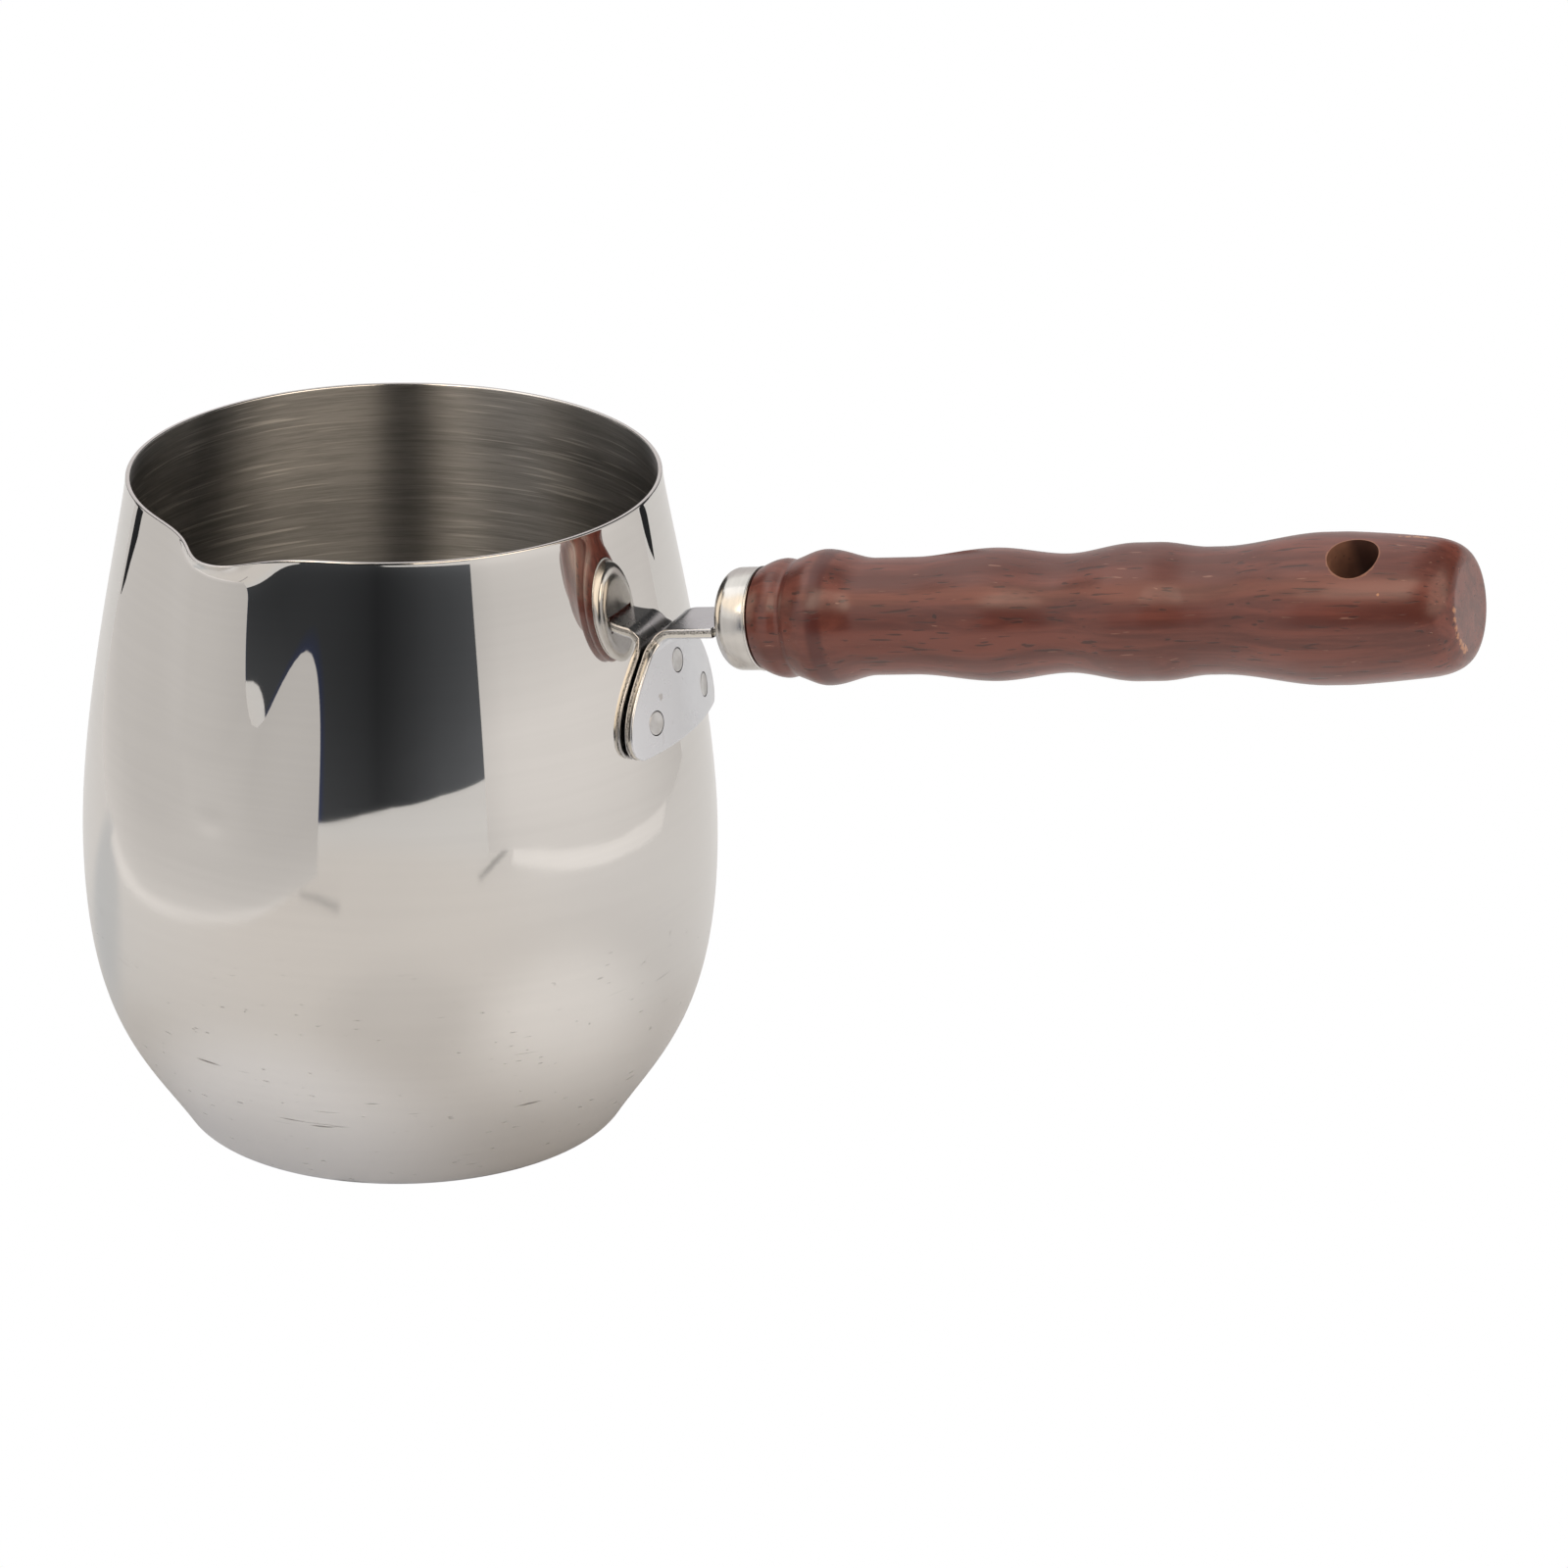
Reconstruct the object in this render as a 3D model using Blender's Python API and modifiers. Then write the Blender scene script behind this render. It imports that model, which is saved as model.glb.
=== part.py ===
"""Turkish coffee pot: a drawn steel pot, a spot-welded bracket and a turned wooden handle.

Sizes are in metres and +Z is up.  The origin is the centre of the flat base.  +X runs out
along the handle, and the pouring lip is on the side of -Y, a little past square to it.
"""
import math

import bmesh
import bpy
import numpy as np
from mathutils import Vector

# Gap that touching pieces keep
CLEARANCE = 0.0003

# Pot body, outside sizes
BODY_HEIGHT = 0.0981
BELLY_DIAMETER = 0.0922
BELLY_HEIGHT = 0.0425
RIM_DIAMETER = 0.0767
BASE_FLAT_DIAMETER = 0.0598
BASE_CORNER_RADIUS = 0.0032
FOOT_LEAN = math.radians(32.4)
RIM_LEAN = math.radians(2.8)
BODY_WALL = 0.0007

# How far each end of the wall's two curves holds its direction, as a share of their height
FOOT_HOLD = 0.30
BELLY_HOLD_BELOW = 0.63
BELLY_HOLD_ABOVE = 0.37
RIM_HOLD = 0.09

# Pouring lip: a channel pressed out of the wall, which fades out downwards and flares at the rim
LIP_BEARING = math.radians(-101.0)
LIP_DIP = 0.0009
LIP_FULLNESS = 2.4
CHANNEL_REACH = 0.0032
CHANNEL_HALF_WIDTH = 0.0086
CHANNEL_END_HALF_WIDTH = 0.0077
CHANNEL_LENGTH = 0.0448
CHANNEL_HOLD = 2.1
CHANNEL_FADE = 1.8
FLARE_REACH = 0.0025
FLARE_HALF_WIDTH = 0.00495
FLARE_DEPTH = 0.0062
FLARE_SWEEP = 3.25

# Handle bracket, stamped from one strip of sheet; its plate ends at a set drop below the rim
SHEET = 0.0015
PLATE_DROP = 0.0335
PLATE_HEIGHT = 0.01366
PLATE_WIDTH = 0.0280
PLATE_CORNER_RADIUS = 0.0026
PLATE_SIDE = 0.0030
PLATE_EDGE_LIFT = 0.0002
NECK_RUN = 0.0124
SIDE_FULLNESS = 1.8
BEND_RADIUS = 0.0035
TONGUE_WIDTH = 0.0100
TONGUE_LENGTH = 0.00738
TANG_SHOULDER = 0.0008
SHOULDER_RUN = 0.00015
TANG_WIDTH = 0.0086
TANG_TIP_WIDTH = 0.0042
TANG_LENGTH = 0.0340

# Spot welds: one high, two low
WELD_DIAMETER = 0.0034
WELD_DIMPLE = 0.00015
WELD_SPACING = 0.0164
LOW_WELD_HEIGHT = 0.0044
HIGH_WELD_HEIGHT = 0.0110

# Handle line
HANDLE_SLOPE = math.radians(9.4)
HANDLE_ABOVE_TANG = 0.0005

# Ferrule, a pressed cup over the end of the wood
FERRULE_DIAMETER = 0.0146
FERRULE_LENGTH = 0.0055
FERRULE_WALL = 0.0005
FERRULE_CORNER_RADIUS = 0.0022
SLOT_PLAY = 0.0005

# Turned grip: runs along the handle from the ferrule outwards, and the diameters they reach
WOOD_PROUD = 0.0001
BEAD_RUN = 0.0034
BEAD_DIAMETER = 0.0169
GROOVE_RUN = 0.0010
GROOVE_DIAMETER = 0.0166
COLLAR_RUN = 0.0051
COLLAR_DIAMETER = 0.0192
FIRST_WAIST_RUN = 0.0074
FIRST_WAIST_LENGTH = 0.0058
FIRST_WAIST_DIAMETER = 0.01645
FIRST_SWELL_RUN = 0.0125
FIRST_SWELL_DIAMETER = 0.0186
SECOND_WAIST_RUN = 0.0109
SECOND_WAIST_DIAMETER = 0.01655
SECOND_SWELL_RUN = 0.0103
SECOND_SWELL_LENGTH = 0.0034
SECOND_SWELL_DIAMETER = 0.0192
THIRD_WAIST_RUN = 0.0072
THIRD_WAIST_LENGTH = 0.0020
THIRD_WAIST_DIAMETER = 0.01765
HEEL_RUN = 0.0154
HEEL_LENGTH = 0.0030
HEEL_DIAMETER = 0.0210
TAPER_RUN = 0.0115
TAPER_DIAMETER = 0.0193
BUTT_RUN = 0.0061
BUTT_FACE_DIAMETER = 0.0126

# Form of the grip's end: how fast the taper falls, and how far the butt's curve holds its ends
TAPER_POWER = 1.3
BUTT_HOLD = 0.60
BUTT_ROUND = 0.33
BUTT_CROWN = 0.072

# Hang hole through the butt
HOLE_DIAMETER = 0.0072
HOLE_FROM_BUTT = 0.0141
HOLE_ROLL = math.radians(28.0)

# Facets
BODY_STEPS = 72
UPPER_WALL_STEPS = 15
RIM_CROWDING = 1.35
LOWER_WALL_STEPS = 8
BASE_CORNER_STEPS = 3
WALL_SAMPLES = 200
HANDLE_STEPS = 36
FERRULE_CORNER_STEPS = 5
SPIGOT_CORNER_STEPS = 4
BEAD_SHARES = (0.0, 0.15, 0.35, 0.6)
SWELL_STEPS = 6
SWELL_STEP_DIAMETER = 0.00048
TAPER_SHARES = (0.35, 0.7, 1.0)
BUTT_STEPS = 7
WELD_STEPS = 24
PLATE_COLUMNS = 12
PLATE_CORNER_ROWS = 4
PLATE_ROWS = 7
BEND_ROWS = 7
TANG_ROWS = 3
MERGE = 0.00001
SHARP = math.radians(35.0)

PARTS = "turkish_coffee_pot"
CUTTERS = "cutters"


def bezier(p0, p1, p2, p3, shares):
    """Return the points of a cubic curve at the given shares of its parameter."""
    t = np.asarray(shares, dtype=float)[:, None]
    a, b, c, d = (np.asarray(p, dtype=float) for p in (p0, p1, p2, p3))
    return (1 - t) ** 3 * a + 3 * (1 - t) ** 2 * t * b + 3 * (1 - t) * t ** 2 * c + t ** 3 * d


def arc(centre, radius, start, end, steps):
    """Return points on an arc from one angle to another, both ends included."""
    angles = np.linspace(start, end, steps + 1)
    return np.column_stack((centre[0] + radius * np.cos(angles), centre[1] + radius * np.sin(angles)))


def ease(share):
    """Return a share that starts and ends level."""
    return share * share * (3.0 - 2.0 * share)


def upper_wall(shares):
    """Return (radius, height) from the rim down to the belly."""
    rise = BODY_HEIGHT - BELLY_HEIGHT
    rim = np.array((RIM_DIAMETER / 2, BODY_HEIGHT))
    belly = np.array((BELLY_DIAMETER / 2, BELLY_HEIGHT))
    down = np.array((math.sin(RIM_LEAN), -math.cos(RIM_LEAN)))
    up = np.array((0.0, 1.0))
    from_rim = rim + down * RIM_HOLD * rise
    to_belly = belly + up * BELLY_HOLD_ABOVE * rise
    return bezier(rim, from_rim, to_belly, belly, shares)


def lower_wall(shares):
    """Return (radius, height) from the belly down to where the base corner starts."""
    belly = np.array((BELLY_DIAMETER / 2, BELLY_HEIGHT))
    foot = np.array((BASE_FLAT_DIAMETER / 2 + BASE_CORNER_RADIUS * math.cos(FOOT_LEAN),
                     BASE_CORNER_RADIUS * (1.0 - math.sin(FOOT_LEAN))))
    fall = belly[1] - foot[1]
    out = np.array((math.sin(FOOT_LEAN), math.cos(FOOT_LEAN)))
    down = np.array((0.0, -1.0))
    from_belly = belly + down * BELLY_HOLD_BELOW * fall
    to_foot = foot + out * FOOT_HOLD * fall
    return bezier(belly, from_belly, to_foot, foot, shares)


def body_outline():
    """Return the outside of the pot from the rim down to the centre of the base."""
    upper = upper_wall(np.linspace(0.0, 1.0, UPPER_WALL_STEPS + 1) ** RIM_CROWDING)
    lower = lower_wall(np.linspace(0.0, 1.0, LOWER_WALL_STEPS + 1))
    corner = arc((BASE_FLAT_DIAMETER / 2, BASE_CORNER_RADIUS), BASE_CORNER_RADIUS,
                 -FOOT_LEAN, -math.pi / 2, BASE_CORNER_STEPS)
    centre = np.array(((0.0, 0.0),))
    return np.vstack((upper, lower[1:], corner[1:], centre))


UPWARDS = np.linspace(1.0, 0.0, WALL_SAMPLES)
WALL_CURVE = np.vstack((lower_wall(UPWARDS), upper_wall(UPWARDS)))


def wall_radius(height):
    """Return the outside radius of the round wall at a height."""
    return float(np.interp(height, WALL_CURVE[:, 1], WALL_CURVE[:, 0]))


def wall_lean(height):
    """Return the angle by which the wall leans inwards, measured from upright."""
    step = SHEET
    return math.atan2(wall_radius(height - step) - wall_radius(height + step), 2 * step)


def material(name, colour, roughness, metallic):
    """Make a plain finish."""
    finish = bpy.data.materials.new(name)
    finish.use_nodes = True
    shader = finish.node_tree.nodes["Principled BSDF"]
    shader.inputs["Base Color"].default_value = (*colour, 1.0)
    shader.inputs["Roughness"].default_value = roughness
    shader.inputs["Metallic"].default_value = metallic
    return finish


def collection(name):
    """Make a collection in the scene."""
    group = bpy.data.collections.new(name)
    bpy.context.scene.collection.children.link(group)
    return group


def add_object(name, mesh, group, parent=None):
    """Put a mesh in a collection as one smooth-shaded object."""
    mesh.shade_smooth()
    mesh.set_sharp_from_angle(angle=SHARP)
    item = bpy.data.objects.new(name, mesh)
    bpy.data.collections[group].objects.link(item)
    item.parent = parent
    return item


def add_cutter(name, mesh, parent=None):
    """Put a cutting tool beside the parts, out of the render."""
    tool = add_object(name, mesh, CUTTERS, parent)
    tool.hide_render = True
    tool.display_type = "WIRE"
    return tool


def cut(item, tool):
    """Take a tool's shape out of an object."""
    change = item.modifiers.new(tool.name, "BOOLEAN")
    change.operation = "DIFFERENCE"
    change.solver = "EXACT"
    change.object = tool


def outline_mesh(name, points, bearing=0.0):
    """Make a mesh of joined edges from (radius, height) points, on a plane through Z."""
    shape = bmesh.new()
    corners = [shape.verts.new((r * math.cos(bearing), r * math.sin(bearing), z)) for r, z in points]
    for first, second in zip(corners, corners[1:]):
        shape.edges.new((first, second))
    mesh = bpy.data.meshes.new(name)
    shape.to_mesh(mesh)
    shape.free()
    return mesh


def turn(item, steps):
    """Revolve an outline about its own Z axis."""
    screw = item.modifiers.new("turned", "SCREW")
    screw.axis = "Z"
    screw.angle = math.tau
    screw.steps = steps
    screw.render_steps = steps
    screw.use_merge_vertices = True
    screw.merge_threshold = MERGE
    screw.use_smooth_shade = True


def turned_object(name, points, steps, group, parent=None):
    """Make a turned piece whose outline runs down its outer side."""
    item = add_object(name, outline_mesh(name, points), group, parent)
    turn(item, steps)
    return item


def box_mesh(name, size, centre):
    """Make a box from a unit cube."""
    shape = bmesh.new()
    bmesh.ops.create_cube(shape, size=1.0)
    for corner in shape.verts:
        corner.co = Vector(centre) + Vector(c * s for c, s in zip(corner.co, size))
    mesh = bpy.data.meshes.new(name)
    shape.to_mesh(mesh)
    shape.free()
    return mesh


def cylinder_mesh(name, radius, start, end, steps):
    """Make a cylinder along Z between two heights."""
    shape = bmesh.new()
    bmesh.ops.create_cone(shape, cap_ends=True, segments=steps, radius1=radius, radius2=radius,
                          depth=end - start)
    bmesh.ops.translate(shape, verts=shape.verts, vec=(0.0, 0.0, (start + end) / 2))
    mesh = bpy.data.meshes.new(name)
    shape.to_mesh(mesh)
    shape.free()
    return mesh


def lip_reach(across, drop):
    """Return how far the lip stands out at a distance from its middle and a drop below the rim."""
    share = min(1.0, drop / CHANNEL_LENGTH)
    half_width = CHANNEL_HALF_WIDTH + (CHANNEL_END_HALF_WIDTH - CHANNEL_HALF_WIDTH) * share
    channel = CHANNEL_REACH * (1.0 - share ** CHANNEL_HOLD) ** CHANNEL_FADE
    flare = FLARE_REACH * max(0.0, 1.0 - drop / FLARE_DEPTH) ** FLARE_SWEEP
    return (channel * math.exp(-abs(across / half_width) ** LIP_FULLNESS)
            + flare * math.exp(-abs(across / FLARE_HALF_WIDTH) ** LIP_FULLNESS))


def press_lip(mesh):
    """Push the wall outwards and the rim down at the pouring lip."""
    for vertex in mesh.vertices:
        x, y, z = vertex.co
        radius = math.hypot(x, y)
        if radius > 0.0:
            turned = math.remainder(math.atan2(y, x) - LIP_BEARING, math.tau)
            reach = lip_reach(turned * radius, max(0.0, BODY_HEIGHT - z))
            stretch = 1.0 + reach / radius
            dip = LIP_DIP * reach / (CHANNEL_REACH + FLARE_REACH)
            vertex.co = (x * stretch, y * stretch, z - dip)


def build_pot_body(finish):
    """Turn the pot's outside, press the lip and give it the thickness of the sheet."""
    blank = bpy.data.objects.new("blank", outline_mesh("blank", body_outline(), LIP_BEARING))
    bpy.data.collections[PARTS].objects.link(blank)
    turn(blank, BODY_STEPS)
    drawn = blank.evaluated_get(bpy.context.evaluated_depsgraph_get())
    mesh = bpy.data.meshes.new_from_object(drawn)
    bpy.data.objects.remove(blank)
    press_lip(mesh)
    mesh.materials.clear()
    body = add_object("pot_body", mesh, PARTS)
    wall = body.modifiers.new("wall", "SOLIDIFY")
    wall.thickness = BODY_WALL
    wall.offset = -1.0
    wall.use_even_offset = True
    mesh.materials.append(finish)
    return body


class Strip:
    """The bracket's middle surface: up the wall, round the bend and out along the handle."""

    def __init__(self):
        self.plate_bottom = BODY_HEIGHT - PLATE_DROP
        self.plate_end = self.plate_bottom + PLATE_HEIGHT
        self.bend_middle_radius = BEND_RADIUS - SHEET / 2
        self.lean = wall_lean(self.plate_end)
        self.turn = math.pi / 2 + self.lean - HANDLE_SLOPE
        self.bend_length = self.bend_middle_radius * self.turn
        self.tongue_start = PLATE_HEIGHT + self.bend_length
        self.face = self.tongue_start + TONGUE_LENGTH
        self.tip = self.face + TANG_LENGTH

    def plate_radius(self, height):
        """Return the radius of the middle surface where it lies on the wall."""
        return wall_radius(height) + CLEARANCE + SHEET / 2

    def point(self, run):
        """Return (x, z) of the strip's centre line, by the run from its bottom edge."""
        if run <= PLATE_HEIGHT:
            height = self.plate_bottom + run
            return self.plate_radius(height), height
        start = (self.plate_radius(self.plate_end), self.plate_end)
        turned = min(run - PLATE_HEIGHT, self.bend_length) / self.bend_middle_radius
        centre = (start[0] + self.bend_middle_radius * math.cos(self.lean),
                  start[1] + self.bend_middle_radius * math.sin(self.lean))
        bearing = math.pi + self.lean - turned
        x = centre[0] + self.bend_middle_radius * math.cos(bearing)
        z = centre[1] + self.bend_middle_radius * math.sin(bearing)
        beyond = max(0.0, run - self.tongue_start)
        return x + beyond * math.cos(HANDLE_SLOPE), z + beyond * math.sin(HANDLE_SLOPE)

    def hug(self, run):
        """Return how far the strip still follows the roundness of the wall."""
        share = min(1.0, max(0.0, (run - PLATE_HEIGHT) / self.bend_length))
        return 1.0 - ease(share)

    def half_width(self, run):
        """Return half the width of the blank at a run from its bottom edge."""
        if run < PLATE_CORNER_RADIUS:
            left = PLATE_CORNER_RADIUS - run
            corner = math.sqrt(PLATE_CORNER_RADIUS ** 2 - left ** 2)
            return PLATE_WIDTH / 2 - PLATE_CORNER_RADIUS + corner
        if run < self.face - TANG_SHOULDER:
            share = min(1.0, max(0.0, (run - PLATE_SIDE) / NECK_RUN))
            return TONGUE_WIDTH / 2 + (PLATE_WIDTH - TONGUE_WIDTH) / 2 * (1.0 - share ** SIDE_FULLNESS)
        share = max(0.0, (run - self.face) / TANG_LENGTH)
        return TANG_WIDTH / 2 + (TANG_TIP_WIDTH - TANG_WIDTH) / 2 * share

    def stations(self):
        """Return the runs at which the strip has a row of points."""
        angles = np.linspace(0.0, math.pi / 2, PLATE_CORNER_ROWS + 1)
        corner = [PLATE_CORNER_RADIUS * (1.0 - math.cos(angle)) for angle in angles]
        plate = list(np.linspace(PLATE_CORNER_RADIUS, PLATE_HEIGHT, PLATE_ROWS + 1))[1:]
        bend = list(np.linspace(PLATE_HEIGHT, self.tongue_start, BEND_ROWS + 1))[1:]
        shoulder = self.face - TANG_SHOULDER
        tongue = [shoulder - SHOULDER_RUN, shoulder]
        tang = list(np.linspace(self.face, self.tip, TANG_ROWS + 1))
        return corner + plate + bend + tongue + tang

    def place(self, run, side):
        """Return the point at a run and a sideways distance from the centre line."""
        x, z = self.point(run)
        hug = self.hug(run)
        on_wall = math.sqrt(max(0.0, x * x - side * side))
        lift = PLATE_EDGE_LIFT * (2.0 * side / PLATE_WIDTH) ** 2
        return Vector((x + hug * (on_wall + lift - x), side, z))


def build_bracket(strip, finish):
    """Lay a grid along the strip, thicken it and cut the seats of the welds."""
    runs = strip.stations()
    shape = bmesh.new()
    bmesh.ops.create_grid(shape, x_segments=PLATE_COLUMNS, y_segments=len(runs) - 1, size=1.0)
    for vertex in shape.verts:
        run = runs[round((vertex.co.y + 1.0) / 2.0 * (len(runs) - 1))]
        vertex.co = strip.place(run, vertex.co.x * strip.half_width(run))
    bmesh.ops.recalc_face_normals(shape, faces=shape.faces)
    mesh = bpy.data.meshes.new("handle_bracket")
    shape.to_mesh(mesh)
    shape.free()
    bracket = add_object("handle_bracket", mesh, PARTS)
    sheet = bracket.modifiers.new("sheet", "SOLIDIFY")
    sheet.thickness = SHEET
    sheet.offset = 0.0
    sheet.use_even_offset = True
    mesh.materials.append(finish)
    reach = SHEET * 2
    for name, seat in weld_seats(strip).items():
        hole = cylinder_mesh("weld_seat", WELD_DIAMETER / 2 + CLEARANCE, -reach, reach, WELD_STEPS)
        tool = add_cutter("seat_of_" + name, hole)
        tool.matrix_world = seat
        cut(bracket, tool)
    return bracket


def weld_seats(strip):
    """Return a frame for each weld: its origin on the plate's middle, its Z square to the wall."""
    half = WELD_SPACING / 2
    places = {"spot_weld_high": (0.0, HIGH_WELD_HEIGHT),
              "spot_weld_lip_side": (-half, LOW_WELD_HEIGHT),
              "spot_weld_far_side": (half, LOW_WELD_HEIGHT)}
    seats = {}
    for name, (side, rise) in places.items():
        height = strip.plate_bottom + rise
        origin = strip.place(rise, strip.plate_radius(height) * math.sin(side / strip.plate_radius(height)))
        bearing = math.atan2(origin.y, origin.x)
        lean = wall_lean(height)
        level = math.cos(lean)
        square = Vector((level * math.cos(bearing), level * math.sin(bearing), math.sin(lean)))
        frame = square.to_track_quat("Z", "Y").to_matrix().to_4x4()
        frame.translation = origin
        seats[name] = frame
    return seats


def build_welds(strip, finish):
    """Make the three slugs of fused metal, each a little below the plate's face."""
    for name, seat in weld_seats(strip).items():
        slug = cylinder_mesh(name, WELD_DIAMETER / 2, -SHEET / 2, SHEET / 2 - WELD_DIMPLE, WELD_STEPS)
        slug.materials.append(finish)
        weld = add_object(name, slug, PARTS)
        weld.matrix_world = seat


def handle_line(strip):
    """Place an empty on the handle's axis, at the outer face of the ferrule, its Z outwards."""
    x, z = strip.point(strip.face)
    line = bpy.data.objects.new("handle_line", None)
    bpy.data.collections[PARTS].objects.link(line)
    line.location = (x - HANDLE_ABOVE_TANG * math.sin(HANDLE_SLOPE), 0.0,
                     z + HANDLE_ABOVE_TANG * math.cos(HANDLE_SLOPE))
    line.rotation_euler = (0.0, math.pi / 2 - HANDLE_SLOPE, 0.0)
    line.empty_display_size = FERRULE_DIAMETER
    return line


def build_ferrule(line, finish):
    """Turn the cup and punch the tang's slot through its face."""
    outer = FERRULE_DIAMETER / 2
    inner = outer - FERRULE_WALL
    flat = outer - FERRULE_CORNER_RADIUS
    middle = (flat, FERRULE_CORNER_RADIUS)
    inside = arc(middle, FERRULE_CORNER_RADIUS - FERRULE_WALL, -math.pi / 2, 0.0, FERRULE_CORNER_STEPS)
    outside = arc(middle, FERRULE_CORNER_RADIUS, 0.0, -math.pi / 2, FERRULE_CORNER_STEPS)
    points = [(0.0, FERRULE_WALL), *inside, (inner, FERRULE_LENGTH), (outer, FERRULE_LENGTH),
              *outside, (0.0, 0.0)]
    ferrule = turned_object("ferrule", points, HANDLE_STEPS, PARTS, line)
    ferrule.data.materials.append(finish)
    size = (SHEET + 2 * SLOT_PLAY, TANG_WIDTH + 2 * CLEARANCE, 4 * FERRULE_WALL)
    slot = add_cutter("ferrule_slot", box_mesh("ferrule_slot", size, (HANDLE_ABOVE_TANG, 0.0, 0.0)), line)
    cut(ferrule, slot)
    return ferrule


def grip_stations():
    """Return (place, diameter) where the grip's outline is level, from the bead to the taper."""
    runs = ((BEAD_RUN, BEAD_DIAMETER), (GROOVE_RUN, GROOVE_DIAMETER), (COLLAR_RUN, COLLAR_DIAMETER),
            (FIRST_WAIST_RUN, FIRST_WAIST_DIAMETER), (FIRST_WAIST_LENGTH, FIRST_WAIST_DIAMETER),
            (FIRST_SWELL_RUN, FIRST_SWELL_DIAMETER), (SECOND_WAIST_RUN, SECOND_WAIST_DIAMETER),
            (SECOND_SWELL_RUN, SECOND_SWELL_DIAMETER), (SECOND_SWELL_LENGTH, SECOND_SWELL_DIAMETER),
            (THIRD_WAIST_RUN, THIRD_WAIST_DIAMETER), (THIRD_WAIST_LENGTH, THIRD_WAIST_DIAMETER),
            (HEEL_RUN, HEEL_DIAMETER), (HEEL_LENGTH, HEEL_DIAMETER))
    place = FERRULE_LENGTH + CLEARANCE
    stations = []
    for run, diameter in runs:
        place += run
        stations.append((place, diameter))
    return stations


def grip_outline():
    """Return (radius, place) along the grip from the ferrule to the edge of the butt face."""
    start = FERRULE_LENGTH + CLEARANCE
    stations = grip_stations()
    edge = FERRULE_DIAMETER / 2 + WOOD_PROUD
    bead = stations[0][1] / 2
    points = [(edge + (bead - edge) * math.sin(math.pi / 2 * t), start + BEAD_RUN * t)
              for t in BEAD_SHARES]
    points.append((bead, stations[0][0]))
    for (place, diameter), (next_place, next_diameter) in zip(stations, stations[1:]):
        steps = min(SWELL_STEPS, max(1, round(abs(next_diameter - diameter) / SWELL_STEP_DIAMETER)))
        for step in range(1, steps + 1):
            share = step / steps
            radius = (diameter + (next_diameter - diameter) * ease(share)) / 2
            points.append((radius, place + (next_place - place) * share))
    heel = stations[-1][0]
    taper = heel + TAPER_RUN
    fall = (HEEL_DIAMETER - TAPER_DIAMETER) / 2
    for share in TAPER_SHARES:
        points.append((HEEL_DIAMETER / 2 - fall * share ** TAPER_POWER, heel + TAPER_RUN * share))
    slope = TAPER_POWER * fall / TAPER_RUN
    hold = BUTT_RUN * BUTT_HOLD
    side = (TAPER_DIAMETER / 2, taper)
    from_side = (side[0] - slope * hold, side[1] + hold)
    edge = (BUTT_FACE_DIAMETER / 2, taper + BUTT_RUN)
    to_edge = (edge[0] + BUTT_RUN * BUTT_ROUND, edge[1] - BUTT_RUN * BUTT_CROWN)
    corner = bezier(side, from_side, to_edge, edge, np.linspace(0.0, 1.0, BUTT_STEPS + 1)[1:])
    return points + [tuple(point) for point in corner]


def handle_length():
    """Return the distance from the ferrule's face to the butt face."""
    return grip_stations()[-1][0] + TAPER_RUN + BUTT_RUN


def build_wooden_handle(line, finish):
    """Turn the grip with its spigot, then cut the tang's mortise and the hang hole."""
    spigot = FERRULE_DIAMETER / 2 - FERRULE_WALL - CLEARANCE
    front = FERRULE_WALL + CLEARANCE
    shoulder = FERRULE_LENGTH + CLEARANCE
    flat = FERRULE_DIAMETER / 2 - FERRULE_CORNER_RADIUS
    round_radius = spigot - flat
    nose = arc((flat, front + round_radius), round_radius, 0.0, -math.pi / 2, SPIGOT_CORNER_STEPS)
    points = [(0.0, handle_length()), *grip_outline()[::-1], (spigot, shoulder), *nose, (0.0, front)]
    wood = turned_object("wooden_handle", points, HANDLE_STEPS, PARTS, line)
    wood.data.materials.append(finish)

    size = (SHEET + 2 * CLEARANCE, TANG_WIDTH, TANG_LENGTH)
    mortise = box_mesh("tang_mortise", size, (HANDLE_ABOVE_TANG, 0.0, 0.0))
    depth = TANG_LENGTH + CLEARANCE
    for vertex in mortise.vertices:
        deep = vertex.co.z > 0.0
        width = (TANG_TIP_WIDTH if deep else TANG_WIDTH) / 2 + CLEARANCE
        vertex.co.y = math.copysign(width, vertex.co.y)
        vertex.co.z = depth if deep else 0.0
    cut(wood, add_cutter("tang_mortise", mortise, line))

    drill = cylinder_mesh("hang_hole", HOLE_DIAMETER / 2, -HEEL_DIAMETER, HEEL_DIAMETER, WELD_STEPS)
    hole = add_cutter("hang_hole", drill, line)
    hole.location = (0.0, 0.0, handle_length() - HOLE_FROM_BUTT)
    hole.rotation_euler = (0.0, math.pi / 2, HOLE_ROLL)
    cut(wood, hole)
    return wood


def main():
    """Build the coffee pot."""
    for item in list(bpy.data.objects):
        bpy.data.objects.remove(item)
    collection(PARTS)
    collection(CUTTERS)

    polished = material("polished_steel", (0.74, 0.72, 0.70), 0.12, 1.0)
    stamped = material("stamped_steel", (0.70, 0.70, 0.71), 0.32, 1.0)
    fused = material("fused_steel", (0.62, 0.61, 0.60), 0.40, 1.0)
    nickel = material("nickel_ferrule", (0.72, 0.69, 0.64), 0.25, 1.0)
    wood = material("lacquered_wood", (0.19, 0.07, 0.055), 0.38, 0.0)

    strip = Strip()
    build_pot_body(polished)
    build_bracket(strip, stamped)
    build_welds(strip, fused)
    line = handle_line(strip)
    build_ferrule(line, nickel)
    build_wooden_handle(line, wood)
    bpy.context.view_layer.update()


main()
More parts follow.
